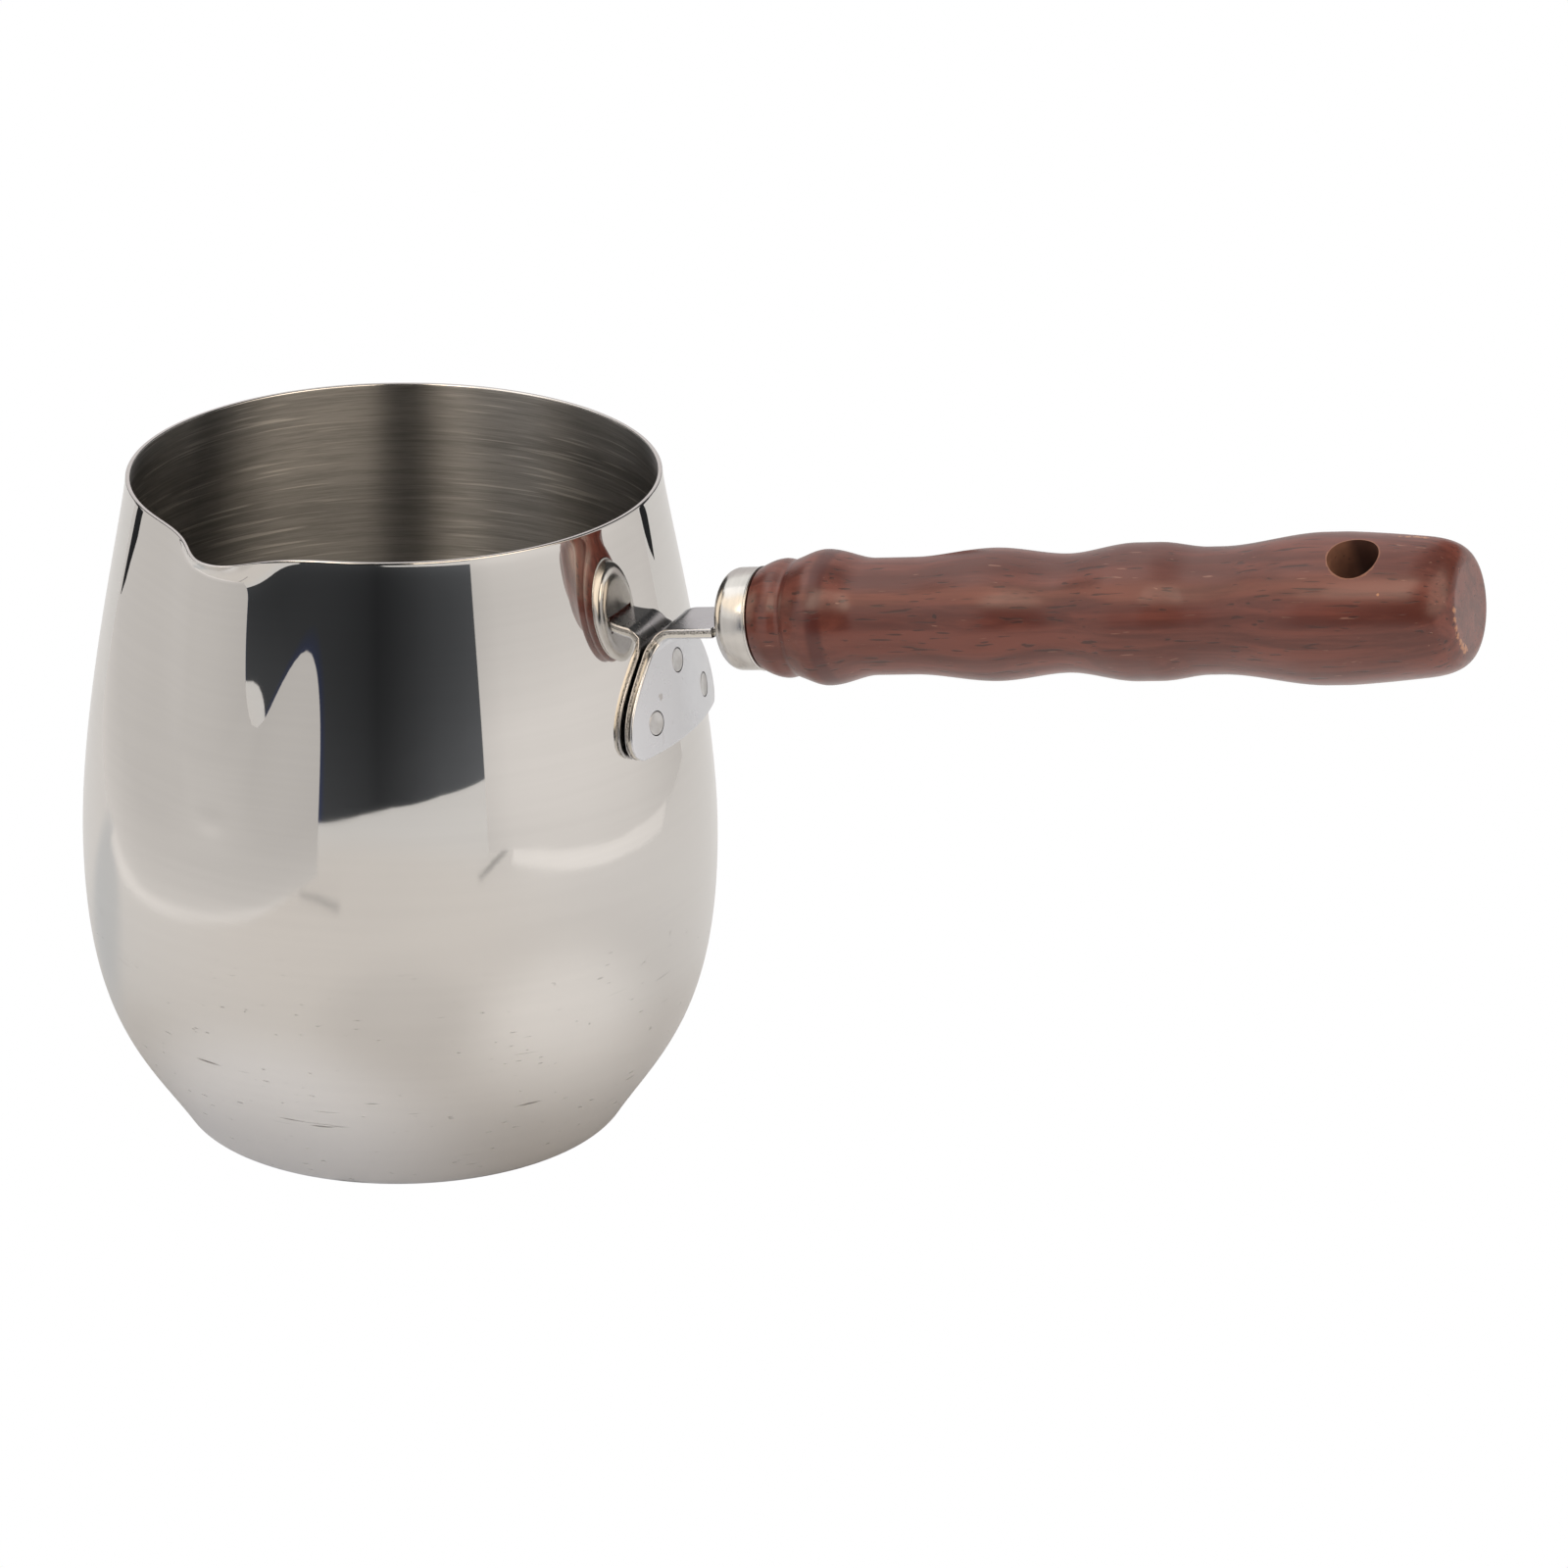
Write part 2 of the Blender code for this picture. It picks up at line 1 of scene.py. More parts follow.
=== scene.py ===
"""A round steel coffee pot with a pressed lip, a welded bracket and a turned wooden handle.

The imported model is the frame.  Every piece here is a finer form of one of its nodes, in metres,
with +Z up and +X out along the handle.
"""
import logging
import math
from collections.abc import Sequence
from dataclasses import dataclass, field
from enum import Enum

import bmesh
import bpy
import numpy as np
from mathutils import Matrix, Vector


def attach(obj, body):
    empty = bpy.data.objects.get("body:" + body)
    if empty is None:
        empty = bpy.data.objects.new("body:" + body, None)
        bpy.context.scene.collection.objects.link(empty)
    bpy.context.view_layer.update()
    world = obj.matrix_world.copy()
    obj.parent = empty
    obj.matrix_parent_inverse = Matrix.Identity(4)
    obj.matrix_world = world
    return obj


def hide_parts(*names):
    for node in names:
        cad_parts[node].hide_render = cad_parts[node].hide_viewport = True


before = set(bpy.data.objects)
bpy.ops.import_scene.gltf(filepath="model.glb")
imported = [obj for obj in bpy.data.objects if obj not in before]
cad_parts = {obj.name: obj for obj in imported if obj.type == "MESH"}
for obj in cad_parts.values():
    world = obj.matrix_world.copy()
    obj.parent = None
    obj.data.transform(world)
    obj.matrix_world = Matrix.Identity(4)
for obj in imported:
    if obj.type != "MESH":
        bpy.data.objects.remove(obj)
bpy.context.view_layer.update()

LOG = logging.getLogger("coffee_pot")
BODY = "root"

Colour = tuple[float, float, float]
Point = tuple[float, float, float]
Pair = tuple[float, float]
Socket = bpy.types.NodeSocket

# The colour sockets of a Mix node by number, because its other types use the same names
MIX_FIRST = 6
MIX_SECOND = 7
MIX_RESULT = 2


class Slot(Enum):
    """The record's material slots."""

    POT = "pot_steel"
    BRACKET = "bracket_steel"
    WELD = "weld_steel"
    FERRULE = "ferrule_metal"
    HANDLE = "handle_wood"


class PotFace(Enum):
    """The surfaces of the pot that are finished in different ways."""

    OUTSIDE = 0
    RIM = 1
    INSIDE = 2


class SheetFace(Enum):
    """The surfaces of a piece stamped from sheet."""

    ROLLED = 0
    SHEARED = 1


class WoodFace(Enum):
    """The surfaces of the handle."""

    LACQUERED = 0
    BORED = 1


# Shader building


@dataclass
class Graph:
    """A node tree that is being filled, with short calls for the nodes used here."""

    tree: bpy.types.NodeTree

    def add(self, kind: str, *, at: dict[str | int, object] | None = None,
            **settings: object) -> bpy.types.Node:
        """Add a node.

        Args:
            kind: Blender's name of the node's type.
            at: What goes into its inputs, by name or number: a value or another node's output.
            settings: Properties of the node.

        Returns:
            The new node.
        """
        node = self.tree.nodes.new(kind)
        for name, value in settings.items():
            setattr(node, name, value)
        self.fill(node, at or {})
        return node

    def fill(self, node: bpy.types.Node, values: dict[str | int, object]) -> None:
        """Set or link several inputs of a node, by name or number."""
        for name, value in values.items():
            self.feed(node.inputs[name], value)

    def feed(self, socket: Socket, value: object) -> None:
        """Link an output to a socket, or set the socket's own value.

        Args:
            socket: The input.
            value: An output socket, or a number, vector or colour.
        """
        if isinstance(value, bpy.types.NodeSocket):
            self.tree.links.new(value, socket)
        else:
            socket.default_value = value

    def maths(self, operation: str, *values: object, clamp: bool = False) -> Socket:
        """Return the result of a sum on one, two or three numbers.

        Args:
            operation: Blender's name of the operation.
            values: The numbers or sockets it works on.
            clamp: Whether the result stays between 0 and 1.

        Returns:
            The result's socket.
        """
        node = self.add("ShaderNodeMath", operation=operation, use_clamp=clamp)
        for socket, value in zip(node.inputs, values):
            self.feed(socket, value)
        return node.outputs[0]

    def vector_maths(self, operation: str, *values: object) -> Socket:
        """Return the result of a sum on vectors.

        Args:
            operation: Blender's name of the operation.
            values: The vectors or sockets it works on.

        Returns:
            The result's vector socket.
        """
        node = self.add("ShaderNodeVectorMath", operation=operation)
        for socket, value in zip(node.inputs, values):
            self.feed(socket, value)
        return node.outputs[0]

    def ramp(self, value: object, low: float, high: float, out_low: object = 0.0,
             out_high: object = 1.0) -> Socket:
        """Return a value carried smoothly from one range to another.

        Args:
            value: The number or socket to carry.
            low: Where the first range starts.
            high: Where it ends.
            out_low: What comes out at the start.
            out_high: What comes out at the end.

        Returns:
            The result's socket.
        """
        node = self.add("ShaderNodeMapRange", interpolation_type="SMOOTHSTEP", clamp=True)
        for socket, given in zip(node.inputs, (value, low, high, out_low, out_high)):
            self.feed(socket, given)
        return node.outputs[0]

    def mix(self, share: object, first: object, second: object, blend: str = "MIX") -> Socket:
        """Return a mix of two colours.

        Args:
            share: How much of the second shows.
            first: The first colour or socket.
            second: The second colour or socket.
            blend: Blender's name of the blend.

        Returns:
            The result's colour socket.
        """
        node = self.add("ShaderNodeMix", data_type="RGBA", blend_type=blend, clamp_factor=True)
        self.feed(node.inputs[0], share)
        self.feed(node.inputs[MIX_FIRST], solid(first) if isinstance(first, tuple) else first)
        self.feed(node.inputs[MIX_SECOND], solid(second) if isinstance(second, tuple) else second)
        return node.outputs[MIX_RESULT]

    def noise(self, place: Socket, scale: object, detail: float = 2.0, rough: float = 0.5) -> Socket:
        """Return smooth noise between 0 and 1.

        Args:
            place: Where it is read.
            scale: How fine it is, as a number or a socket.
            detail: How many finer layers lie on it.
            rough: How strong those layers are.

        Returns:
            The noise's socket.
        """
        values = {"Vector": place, "Scale": scale, "Detail": detail, "Roughness": rough}
        return self.add("ShaderNodeTexNoise", at=values).outputs[0]

    def distance(self, place: Socket, point: Point) -> Socket:
        """Return how far a place is from a point."""
        node = self.add("ShaderNodeVectorMath", operation="DISTANCE", at={0: place, 1: point})
        return node.outputs["Value"]

    def part(self, vector: Socket, number: int) -> Socket:
        """Return one part of a vector: 0 for its X, 1 for its Y or 2 for its Z."""
        return self.add("ShaderNodeSeparateXYZ", at={0: vector}).outputs[number]

    def group(self, effect: bpy.types.NodeTree, **values: object) -> bpy.types.Node:
        """Place a shared effect and set its inputs.

        Args:
            effect: The node group.
            values: Its inputs, with spaces in their names written as underscores.

        Returns:
            The group's node.
        """
        node = self.add("ShaderNodeGroup", node_tree=effect)
        for name, value in values.items():
            self.feed(node.inputs[name.replace("_", " ")], value)
        return node


def solid(colour: Colour) -> tuple[float, float, float, float]:
    """Return a colour with full alpha."""
    return (*colour, 1.0)


def new_group(name: str, inputs: dict[str, object],
              outputs: Sequence[str]) -> tuple[Graph, bpy.types.Node, bpy.types.Node]:
    """Start a node group of values.

    Args:
        name: The group's name.
        inputs: Its inputs and their first values; a value of None makes a vector input.
        outputs: The names of its number outputs.

    Returns:
        The graph, and its input and output nodes.
    """
    tree = bpy.data.node_groups.new(name, "ShaderNodeTree")
    for label, value in inputs.items():
        kind = "NodeSocketVector" if value is None else "NodeSocketFloat"
        socket = tree.interface.new_socket(label, in_out="INPUT", socket_type=kind)
        if value is not None:
            socket.default_value = value
    for label in outputs:
        tree.interface.new_socket(label, in_out="OUTPUT", socket_type="NodeSocketFloat")
    graph = Graph(tree)
    return graph, graph.add("NodeGroupInput"), graph.add("NodeGroupOutput")


class Effects:
    """The shared effects, each built once as a node group."""

    def __init__(self) -> None:
        """Build every group."""
        self.brush = self.build_brush()
        self.scratches = self.build_scratches()
        self.wear = self.build_wear()
        self.grain = self.build_grain()
        self.dust = self.build_dust()

    def build_brush(self) -> bpy.types.NodeTree:
        """Build fine lines that run round the Z axis, as a turned or brushed wall has.

        Returns:
            The group, which puts out the lines, the broad bands among them and a few long streaks.
        """
        inputs = {"Place": None, "Around": 4.0, "Across": 4000.0, "Contrast": 1.0}
        graph, given, result = new_group("brush lines", inputs, ("Lines", "Bands", "Streaks"))
        band_scale = 0.22
        band_share = 0.6
        streak_scale = 0.8
        split = graph.add("ShaderNodeSeparateXYZ", at={0: given.outputs["Place"]})
        flat = graph.add("ShaderNodeCombineXYZ", at={0: split.outputs[0], 1: split.outputs[1]})
        turned = graph.vector_maths("SCALE", graph.vector_maths("NORMALIZE", flat.outputs[0]))
        graph.feed(turned.node.inputs["Scale"], given.outputs["Around"])
        up = graph.add("ShaderNodeCombineXYZ",
                       at={2: graph.maths("MULTIPLY", split.outputs[2], given.outputs["Across"])})
        place = graph.vector_maths("ADD", turned, up.outputs[0])
        fine = graph.noise(place, 1.0, detail=3.0, rough=0.65)
        bands = graph.noise(place, band_scale, detail=1.0)
        both = graph.maths("ADD", fine, graph.maths("MULTIPLY", bands, band_share))
        raised = graph.maths("SUBTRACT", both, 0.5 + 0.5 * band_share)
        lines = graph.maths("MULTIPLY_ADD", raised, given.outputs["Contrast"], 0.5)
        streaks = graph.ramp(graph.noise(place, streak_scale, detail=1.0), 0.58, 0.74)
        graph.fill(result, {"Lines": lines, "Bands": bands, "Streaks": streaks})
        return graph.tree

    def build_scratches(self) -> bpy.types.NodeTree:
        """Build sparse short marks, which run long where their place vector changes slowly.

        Returns:
            The group, which puts out the marks' mask.
        """
        inputs = {"Place": None, "Scale": 100.0, "Amount": 0.1}
        graph, given, result = new_group("short marks", inputs, ("Marks",))
        highest_level = 0.78
        level_fall = 0.25
        sharpness = 22.0
        noise = graph.noise(given.outputs["Place"], given.outputs["Scale"], detail=1.0)
        level = graph.maths("SUBTRACT", highest_level,
                            graph.maths("MULTIPLY", given.outputs["Amount"], level_fall))
        above = graph.maths("SUBTRACT", noise, level)
        graph.fill(result, {"Marks": graph.maths("MULTIPLY", above, sharpness, clamp=True)})
        return graph.tree

    def build_wear(self) -> bpy.types.NodeTree:
        """Build the ragged patch where an edge or a spot is rubbed, by the distance from it.

        Returns:
            The group, which puts out the patch's mask.
        """
        inputs = {"Place": None, "Distance": 0.0, "Reach": 0.002, "Scale": 900.0}
        graph, given, result = new_group("rubbed places", inputs, ("Mask",))
        raggedness = 1.8
        noise = graph.noise(given.outputs["Place"], given.outputs["Scale"], detail=4.0, rough=0.7)
        share = graph.maths("DIVIDE", given.outputs["Distance"], given.outputs["Reach"])
        near = graph.maths("SUBTRACT", 1.0, share)
        ragged = graph.maths("MULTIPLY", graph.maths("SUBTRACT", noise, 0.5), raggedness)
        graph.fill(result, {"Mask": graph.ramp(graph.maths("ADD", near, ragged), 0.45, 0.75)})
        return graph.tree

    def build_grain(self) -> bpy.types.NodeTree:
        """Build wood's streaks, open pores, pale flecks and broad figure, long along Z.

        Returns:
            The group, which puts out one value for each of the four.
        """
        inputs = {"Place": None, "Streaks": 260.0, "Pores": 900.0}
        graph, given, result = new_group("wood grain", inputs, ("Streak", "Pore", "Fleck", "Figure"))
        place = given.outputs["Place"]
        streak_squeeze = (1.0, 1.0, 0.055)
        figure_squeeze = (1.0, 1.0, 0.3)
        pore_squeeze = (1.0, 1.0, 0.09)
        figure_scale = 90.0
        fleck_shift = (3.1, 1.7, 0.4)
        streak = graph.add("ShaderNodeTexNoise", at={
            "Vector": graph.vector_maths("MULTIPLY", place, streak_squeeze),
            "Scale": given.outputs["Streaks"], "Detail": 5.0, "Roughness": 0.6, "Distortion": 0.4})
        figure = graph.noise(graph.vector_maths("MULTIPLY", place, figure_squeeze), figure_scale, detail=3.0)
        long_pores = graph.vector_maths("MULTIPLY", place, pore_squeeze)
        pore = graph.noise(long_pores, given.outputs["Pores"], detail=1.0, rough=0.4)
        shifted = graph.vector_maths("ADD", long_pores, fleck_shift)
        fleck = graph.noise(shifted, given.outputs["Pores"], detail=2.0, rough=0.5)
        graph.fill(result, {"Streak": streak.outputs[0], "Pore": graph.ramp(pore, 0.65, 0.71),
                            "Fleck": graph.ramp(fleck, 0.70, 0.75), "Figure": figure})
        return graph.tree

    def build_dust(self) -> bpy.types.NodeTree:
        """Build a soft unevenness, as handling and wiping leave on a finish.

        Returns:
            The group, which puts out a value between its Low and its High.
        """
        inputs = {"Place": None, "Scale": 60.0, "Low": 0.0, "High": 1.0}
        graph, given, result = new_group("handling haze", inputs, ("Value",))
        noise = graph.noise(given.outputs["Place"], given.outputs["Scale"], detail=4.0)
        value = graph.ramp(noise, 0.3, 0.7, given.outputs["Low"], given.outputs["High"])
        graph.fill(result, {"Value": value})
        return graph.tree


@dataclass(frozen=True)
class BrushLines:
    """How finely a surface is brushed round and round."""

    around: float
    across: float
    contrast: float = 1.0

    def on(self, graph: Graph, effects: Effects, place: Socket) -> bpy.types.Node:
        """Return the lines' group, placed on a surface."""
        return graph.group(effects.brush, Place=place, Around=self.around, Across=self.across,
                           Contrast=self.contrast)


@dataclass(frozen=True)
class ShortMarks:
    """How a surface is marked: the squeeze that draws the marks out, their fineness and number."""

    squeeze: Point
    scale: float
    amount: float

    def on(self, graph: Graph, effects: Effects, place: Socket) -> Socket:
        """Return the marks' mask on a surface."""
        squeezed = graph.vector_maths("MULTIPLY", place, self.squeeze)
        return graph.group(effects.scratches, Place=squeezed, Scale=self.scale, Amount=self.amount).outputs[0]


@dataclass(frozen=True)
class Haze:
    """A soft unevenness: its fineness and the range of its value."""

    scale: float
    low: float
    high: float

    def on(self, graph: Graph, effects: Effects, place: Socket) -> Socket:
        """Return the haze's value on a surface."""
        haze = graph.group(effects.dust, Place=place, Scale=self.scale, Low=self.low, High=self.high)
        return haze.outputs[0]


@dataclass(frozen=True)
class Rub:
    """A ragged rubbed patch: how far it reaches and how fine its edge is."""

    reach: float
    scale: float

    def on(self, graph: Graph, effects: Effects, place: Socket, distance: Socket) -> Socket:
        """Return the patch's mask on a surface, by the distance from what is rubbed."""
        return graph.group(effects.wear, Place=place, Distance=distance, Reach=self.reach,
                           Scale=self.scale).outputs[0]


def start_material(name: str) -> tuple[bpy.types.Material, Graph, bpy.types.Node]:
    """Make a material with its shader.

    Args:
        name: The material's name.

    Returns:
        The material, its graph and its Principled shader.
    """
    finish = bpy.data.materials.new(name)
    finish.use_nodes = True
    graph = Graph(finish.node_tree)
    return finish, graph, finish.node_tree.nodes["Principled BSDF"]


def object_place(graph: Graph) -> Socket:
    """Return the place on the surface, in metres in the row's frame."""
    return graph.add("ShaderNodeTexCoord").outputs["Object"]


def graph_grey(graph: Graph, value: Socket) -> Socket:
    """Return a grey of the given value."""
    return graph.add("ShaderNodeCombineColor", at={0: value, 1: value, 2: value}).outputs[0]


def shaded(graph: Graph, colour: Colour, value: Socket) -> Socket:
    """Return a colour times a value."""
    return graph.mix(1.0, colour, graph_grey(graph, value), "MULTIPLY")


def bump(graph: Graph, height: Socket, distance: float) -> Socket:
    """Return a normal that follows a height.

    Args:
        graph: The material's graph.
        height: The height, from 0 to 1.
        distance: How high 1 is, in metres.

    Returns:
        The normal's socket.
    """
    node = graph.add("ShaderNodeBump", at={"Height": height, "Distance": distance, "Strength": 1.0})
    return node.outputs[0]


# Finishes


@dataclass(frozen=True)
class PotOutside:
    """Steel polished to a mirror above the belly and left satin below it."""

    colour: Colour = (0.740, 0.722, 0.700)
    marked: Colour = (0.30, 0.285, 0.265)
    mirror_roughness: float = 0.025
    satin_roughness: float = 0.20
    satin_from: float = 0.066
    satin_full: float = 0.028
    waver: Haze = Haze(38.0, -0.004, 0.004)
    lines: BrushLines = BrushLines(5.0, 3600.0)
    line_height: float = 0.0000035
    mirror_line_share: float = 0.015
    least_shade: float = 0.985
    marks: ShortMarks = ShortMarks((0.16, 0.16, 1.9), 560.0, 0.165)
    marks_from: float = 0.034
    marks_full: float = 0.022
    mark_roughness: float = 0.2
    nicks: ShortMarks = ShortMarks((0.30, 0.30, 1.2), 1500.0, 0.235)
    nicks_from: float = 0.044
    nicks_full: float = 0.030
    nick_share: float = 0.5

    def build(self, effects: Effects) -> bpy.types.Material:
        """Build the material.

        Args:
            effects: The shared node groups.

        Returns:
            The new material.
        """
        finish, graph, shader = start_material("pot_outside")
        place = object_place(graph)
        height = graph.part(place, 2)
        wavering = graph.maths("ADD", height, self.waver.on(graph, effects, place))
        satin = graph.ramp(wavering, self.satin_from, self.satin_full)
        lines = self.lines.on(graph, effects, place)
        marks = graph.maths("MULTIPLY", self.marks.on(graph, effects, place),
                            graph.ramp(height, self.marks_from, self.marks_full))
        nicks = graph.maths("MULTIPLY", self.nicks.on(graph, effects, place),
                            graph.ramp(height, self.nicks_from, self.nicks_full, 0.0, self.nick_share))
        marks = graph.maths("MAXIMUM", marks, nicks)
        rough = graph.maths("MULTIPLY_ADD", satin, self.satin_roughness - self.mirror_roughness,
                            self.mirror_roughness)
        line_share = graph.maths("MULTIPLY_ADD", satin, 1.0 - self.mirror_line_share, self.mirror_line_share)
        relief = graph.maths("MULTIPLY", lines.outputs["Lines"], line_share)
        shade = graph.ramp(lines.outputs["Bands"], 0.3, 0.7, self.least_shade, 1.0)
        graph.fill(shader, {
            "Base Color": graph.mix(marks, shaded(graph, self.colour, shade), self.marked),
            "Roughness": graph.maths("MULTIPLY_ADD", marks, self.mark_roughness, rough),
            "Normal": bump(graph, relief, self.line_height),
            "Metallic": 1.0})
        return finish


@dataclass(frozen=True)
class PotInside:
    """Steel brushed round and round with a coarse wheel.

    Pale streaks along the brushing are painted glints; few show on the stripe that crosses the pot from the
    camera's side to the far side.
    """

    colour: Colour = (0.530, 0.522, 0.512)
    # Painted highlight: the colour of the glinting streaks
    streak: Colour = (0.85, 0.83, 0.80)
    roughness: float = 0.44
    roughness_spread: float = 0.10
    anisotropy: float = 1.0
    anisotropy_turn: float = 0.25
    fine: BrushLines = BrushLines(9.0, 5600.0, 1.3)
    coarse: BrushLines = BrushLines(3.4, 2700.0, 1.3)
    line_height: float = 0.000004
    least_shade: float = 0.72
    camera_stripe_normal: Point = (0.90, 0.44, 0.0)
    camera_stripe_reach: Pair = (0.003, 0.016)
    glint_shares: Pair = (0.15, 0.75)

    def build(self, effects: Effects) -> bpy.types.Material:
        """Build the material.

        Args:
            effects: The shared node groups.

        Returns:
            The new material.
        """
        finish, graph, shader = start_material("pot_inside")
        place = object_place(graph)
        fine = self.fine.on(graph, effects, place)
        coarse = self.coarse.on(graph, effects, place)
        rough = graph.maths("MULTIPLY_ADD", coarse.outputs["Bands"], self.roughness_spread,
                            self.roughness - self.roughness_spread / 2)
        level = graph.maths("ADD", fine.outputs["Lines"], coarse.outputs["Lines"])
        shade = graph.ramp(level, 0.6, 1.4, self.least_shade, 1.0)
        # Painted highlights: the glinting streaks fade on the stripe from the camera's side to the far side
        side = graph.add("ShaderNodeVectorMath", operation="DOT_PRODUCT", at={0: place, 1: self.camera_stripe_normal})
        away = graph.maths("ABSOLUTE", side.outputs["Value"])
        streaks = graph.maths("MULTIPLY", coarse.outputs["Streaks"],
                              graph.ramp(away, *self.camera_stripe_reach, *self.glint_shares))
        graph.fill(shader, {
            "Base Color": graph.mix(streaks, shaded(graph, self.colour, shade), self.streak),
            "Roughness": rough,
            "Normal": bump(graph, coarse.outputs["Lines"], self.line_height),
            "Tangent": graph.add("ShaderNodeTangent", direction_type="RADIAL", axis="Z").outputs[0],
            "Anisotropic": self.anisotropy,
            "Anisotropic Rotation": self.anisotropy_turn,
            "Metallic": 1.0})
        return finish


@dataclass(frozen=True)
class PotRim:
    """The trimmed and dressed edge of the pot's wall."""

    colour: Colour = (0.90, 0.885, 0.865)
    roughness: Haze = Haze(300.0, 0.12, 0.17)
    shade: Haze = Haze(500.0, 0.96, 1.0)

    def build(self, effects: Effects) -> bpy.types.Material:
        """Build the material.

        Args:
            effects: The shared node groups.

        Returns:
            The new material.
        """
        finish, graph, shader = start_material("pot_rim")
        place = object_place(graph)
        graph.fill(shader, {
            "Base Color": shaded(graph, self.colour, self.shade.on(graph, effects, place)),
            "Roughness": self.roughness.on(graph, effects, place),
            "Metallic": 1.0})
        return finish


@dataclass(frozen=True)
class RolledSheet:
    """The face of cold-rolled sheet after stamping and tumbling."""

    colour: Colour = (0.735, 0.745, 0.775)
    smudge: Colour = (0.36, 0.31, 0.26)
    roughness: Haze = Haze(240.0, 0.22, 0.29)
    marks: ShortMarks = ShortMarks((1.0, 1.0, 0.14), 2400.0, 0.12)
    mark_share: float = 0.22
    mark_roughness: float = 0.2
    heat_spot: Point = (0.0443, -0.0064, 0.0724)
    heat: Rub = Rub(0.0011, 1400.0)
    heat_share: float = 0.45
    grit: Haze = Haze(1500.0, 0.0, 1.0)
    grit_height: float = 0.000003

    def build(self, effects: Effects) -> bpy.types.Material:
        """Build the material.

        Args:
            effects: The shared node groups.

        Returns:
            The new material.
        """
        finish, graph, shader = start_material("bracket_sheet")
        place = object_place(graph)
        marks = self.marks.on(graph, effects, place)
        heat = self.heat.on(graph, effects, place, graph.distance(place, self.heat_spot))
        tint = graph.mix(graph.maths("MULTIPLY", marks, self.mark_share), self.colour, self.smudge)
        tint = graph.mix(graph.maths("MULTIPLY", heat, self.heat_share), tint, self.smudge)
        haze = self.roughness.on(graph, effects, place)
        graph.fill(shader, {
            "Base Color": tint,
            "Roughness": graph.maths("MULTIPLY_ADD", marks, self.mark_roughness, haze),
            "Normal": bump(graph, self.grit.on(graph, effects, place), self.grit_height),
            "Metallic": 1.0})
        return finish


@dataclass(frozen=True)
class ShearedEdge:
    """The cut side of stamped sheet: a bright burnished band, then a torn grey one."""

    burnished: Colour = (0.80, 0.775, 0.72)
    torn: Colour = (0.62, 0.605, 0.59)
    pit: Colour = (0.10, 0.095, 0.09)
    torn_share: float = 0.50
    torn_blend: float = 0.08
    ragged_scale: float = 2600.0
    raggedness: float = 0.5
    pit_scale: float = 4200.0
    burnished_roughness: float = 0.22
    torn_roughness: float = 0.30
    tear_scale: float = 3800.0
    tear_height: float = 0.00006

    def build(self) -> bpy.types.Material:
        """Build the material, whose bands follow the V of the strip's map.

        Returns:
            The new material.
        """
        finish, graph, shader = start_material("bracket_edge")
        place = object_place(graph)
        across = graph.part(graph.add("ShaderNodeUVMap").outputs[0], 1)
        ragged = graph.maths("SUBTRACT", graph.noise(place, self.ragged_scale, detail=4.0, rough=0.7), 0.5)
        line = graph.maths("MULTIPLY_ADD", ragged, self.raggedness, across)
        torn = graph.ramp(line, self.torn_share - self.torn_blend, self.torn_share + self.torn_blend)
        pitting = graph.ramp(graph.noise(place, self.pit_scale, detail=3.0, rough=0.6), 0.47, 0.60)
        pits = graph.maths("MULTIPLY", pitting, torn)
        tears = graph.maths("MULTIPLY", graph.noise(place, self.tear_scale, detail=3.0, rough=0.7), torn)
        graph.fill(shader, {
            "Base Color": graph.mix(pits, graph.mix(torn, self.burnished, self.torn), self.pit),
            "Roughness": graph.maths("MULTIPLY_ADD", torn, self.torn_roughness, self.burnished_roughness),
            "Normal": bump(graph, tears, self.tear_height),
            "Metallic": 1.0})
        return finish


@dataclass(frozen=True)
class WeldFace:
    """The face of a spot weld, dulled by the electrode."""

    colour: Colour = (0.67, 0.665, 0.66)
    dull: Colour = (0.42, 0.40, 0.385)
    haze: Haze = Haze(700.0, 0.0, 0.35)
    roughness: float = 0.30
    haze_roughness: float = 0.35
    grit_scale: float = 2200.0
    grit_height: float = 0.000012

    def build(self, effects: Effects) -> bpy.types.Material:
        """Build the material.

        Args:
            effects: The shared node groups.

        Returns:
            The new material.
        """
        finish, graph, shader = start_material("weld_face")
        place = object_place(graph)
        haze = self.haze.on(graph, effects, place)
        grit = graph.noise(place, self.grit_scale, detail=3.0, rough=0.6)
        graph.fill(shader, {
            "Base Color": graph.mix(haze, self.colour, self.dull),
            "Roughness": graph.maths("MULTIPLY_ADD", haze, self.haze_roughness, self.roughness),
            "Normal": bump(graph, grit, self.grit_height),
            "Metallic": 1.0})
        return finish


@dataclass(frozen=True)
class NickelPlate:
    """Warm nickel plate over a pressed cup, lightly brushed round."""

    colour: Colour = (0.76, 0.745, 0.72)
    roughness: float = 0.21
    haze: Haze = Haze(420.0, -0.03, 0.05)
    lines: BrushLines = BrushLines(3.0, 5200.0)
    line_height: float = 0.000003
    least_shade: float = 0.93

    def build(self, effects: Effects, along: Matrix) -> bpy.types.Material:
        """Build the material.

        Args:
            effects: The shared node groups.
            along: The handle's frame, its Z along the handle.

        Returns:
            The new material.
        """
        finish, graph, shader = start_material("ferrule_nickel")
        place = handle_place(graph, along)
        lines = self.lines.on(graph, effects, place)
        shade = graph.ramp(lines.outputs["Bands"], 0.25, 0.75, self.least_shade, 1.0)
        graph.fill(shader, {
            "Base Color": shaded(graph, self.colour, shade),
            "Roughness": graph.maths("ADD", self.haze.on(graph, effects, place), self.roughness),
            "Normal": bump(graph, lines.outputs["Lines"], self.line_height),
            "Metallic": 1.0})
        return finish


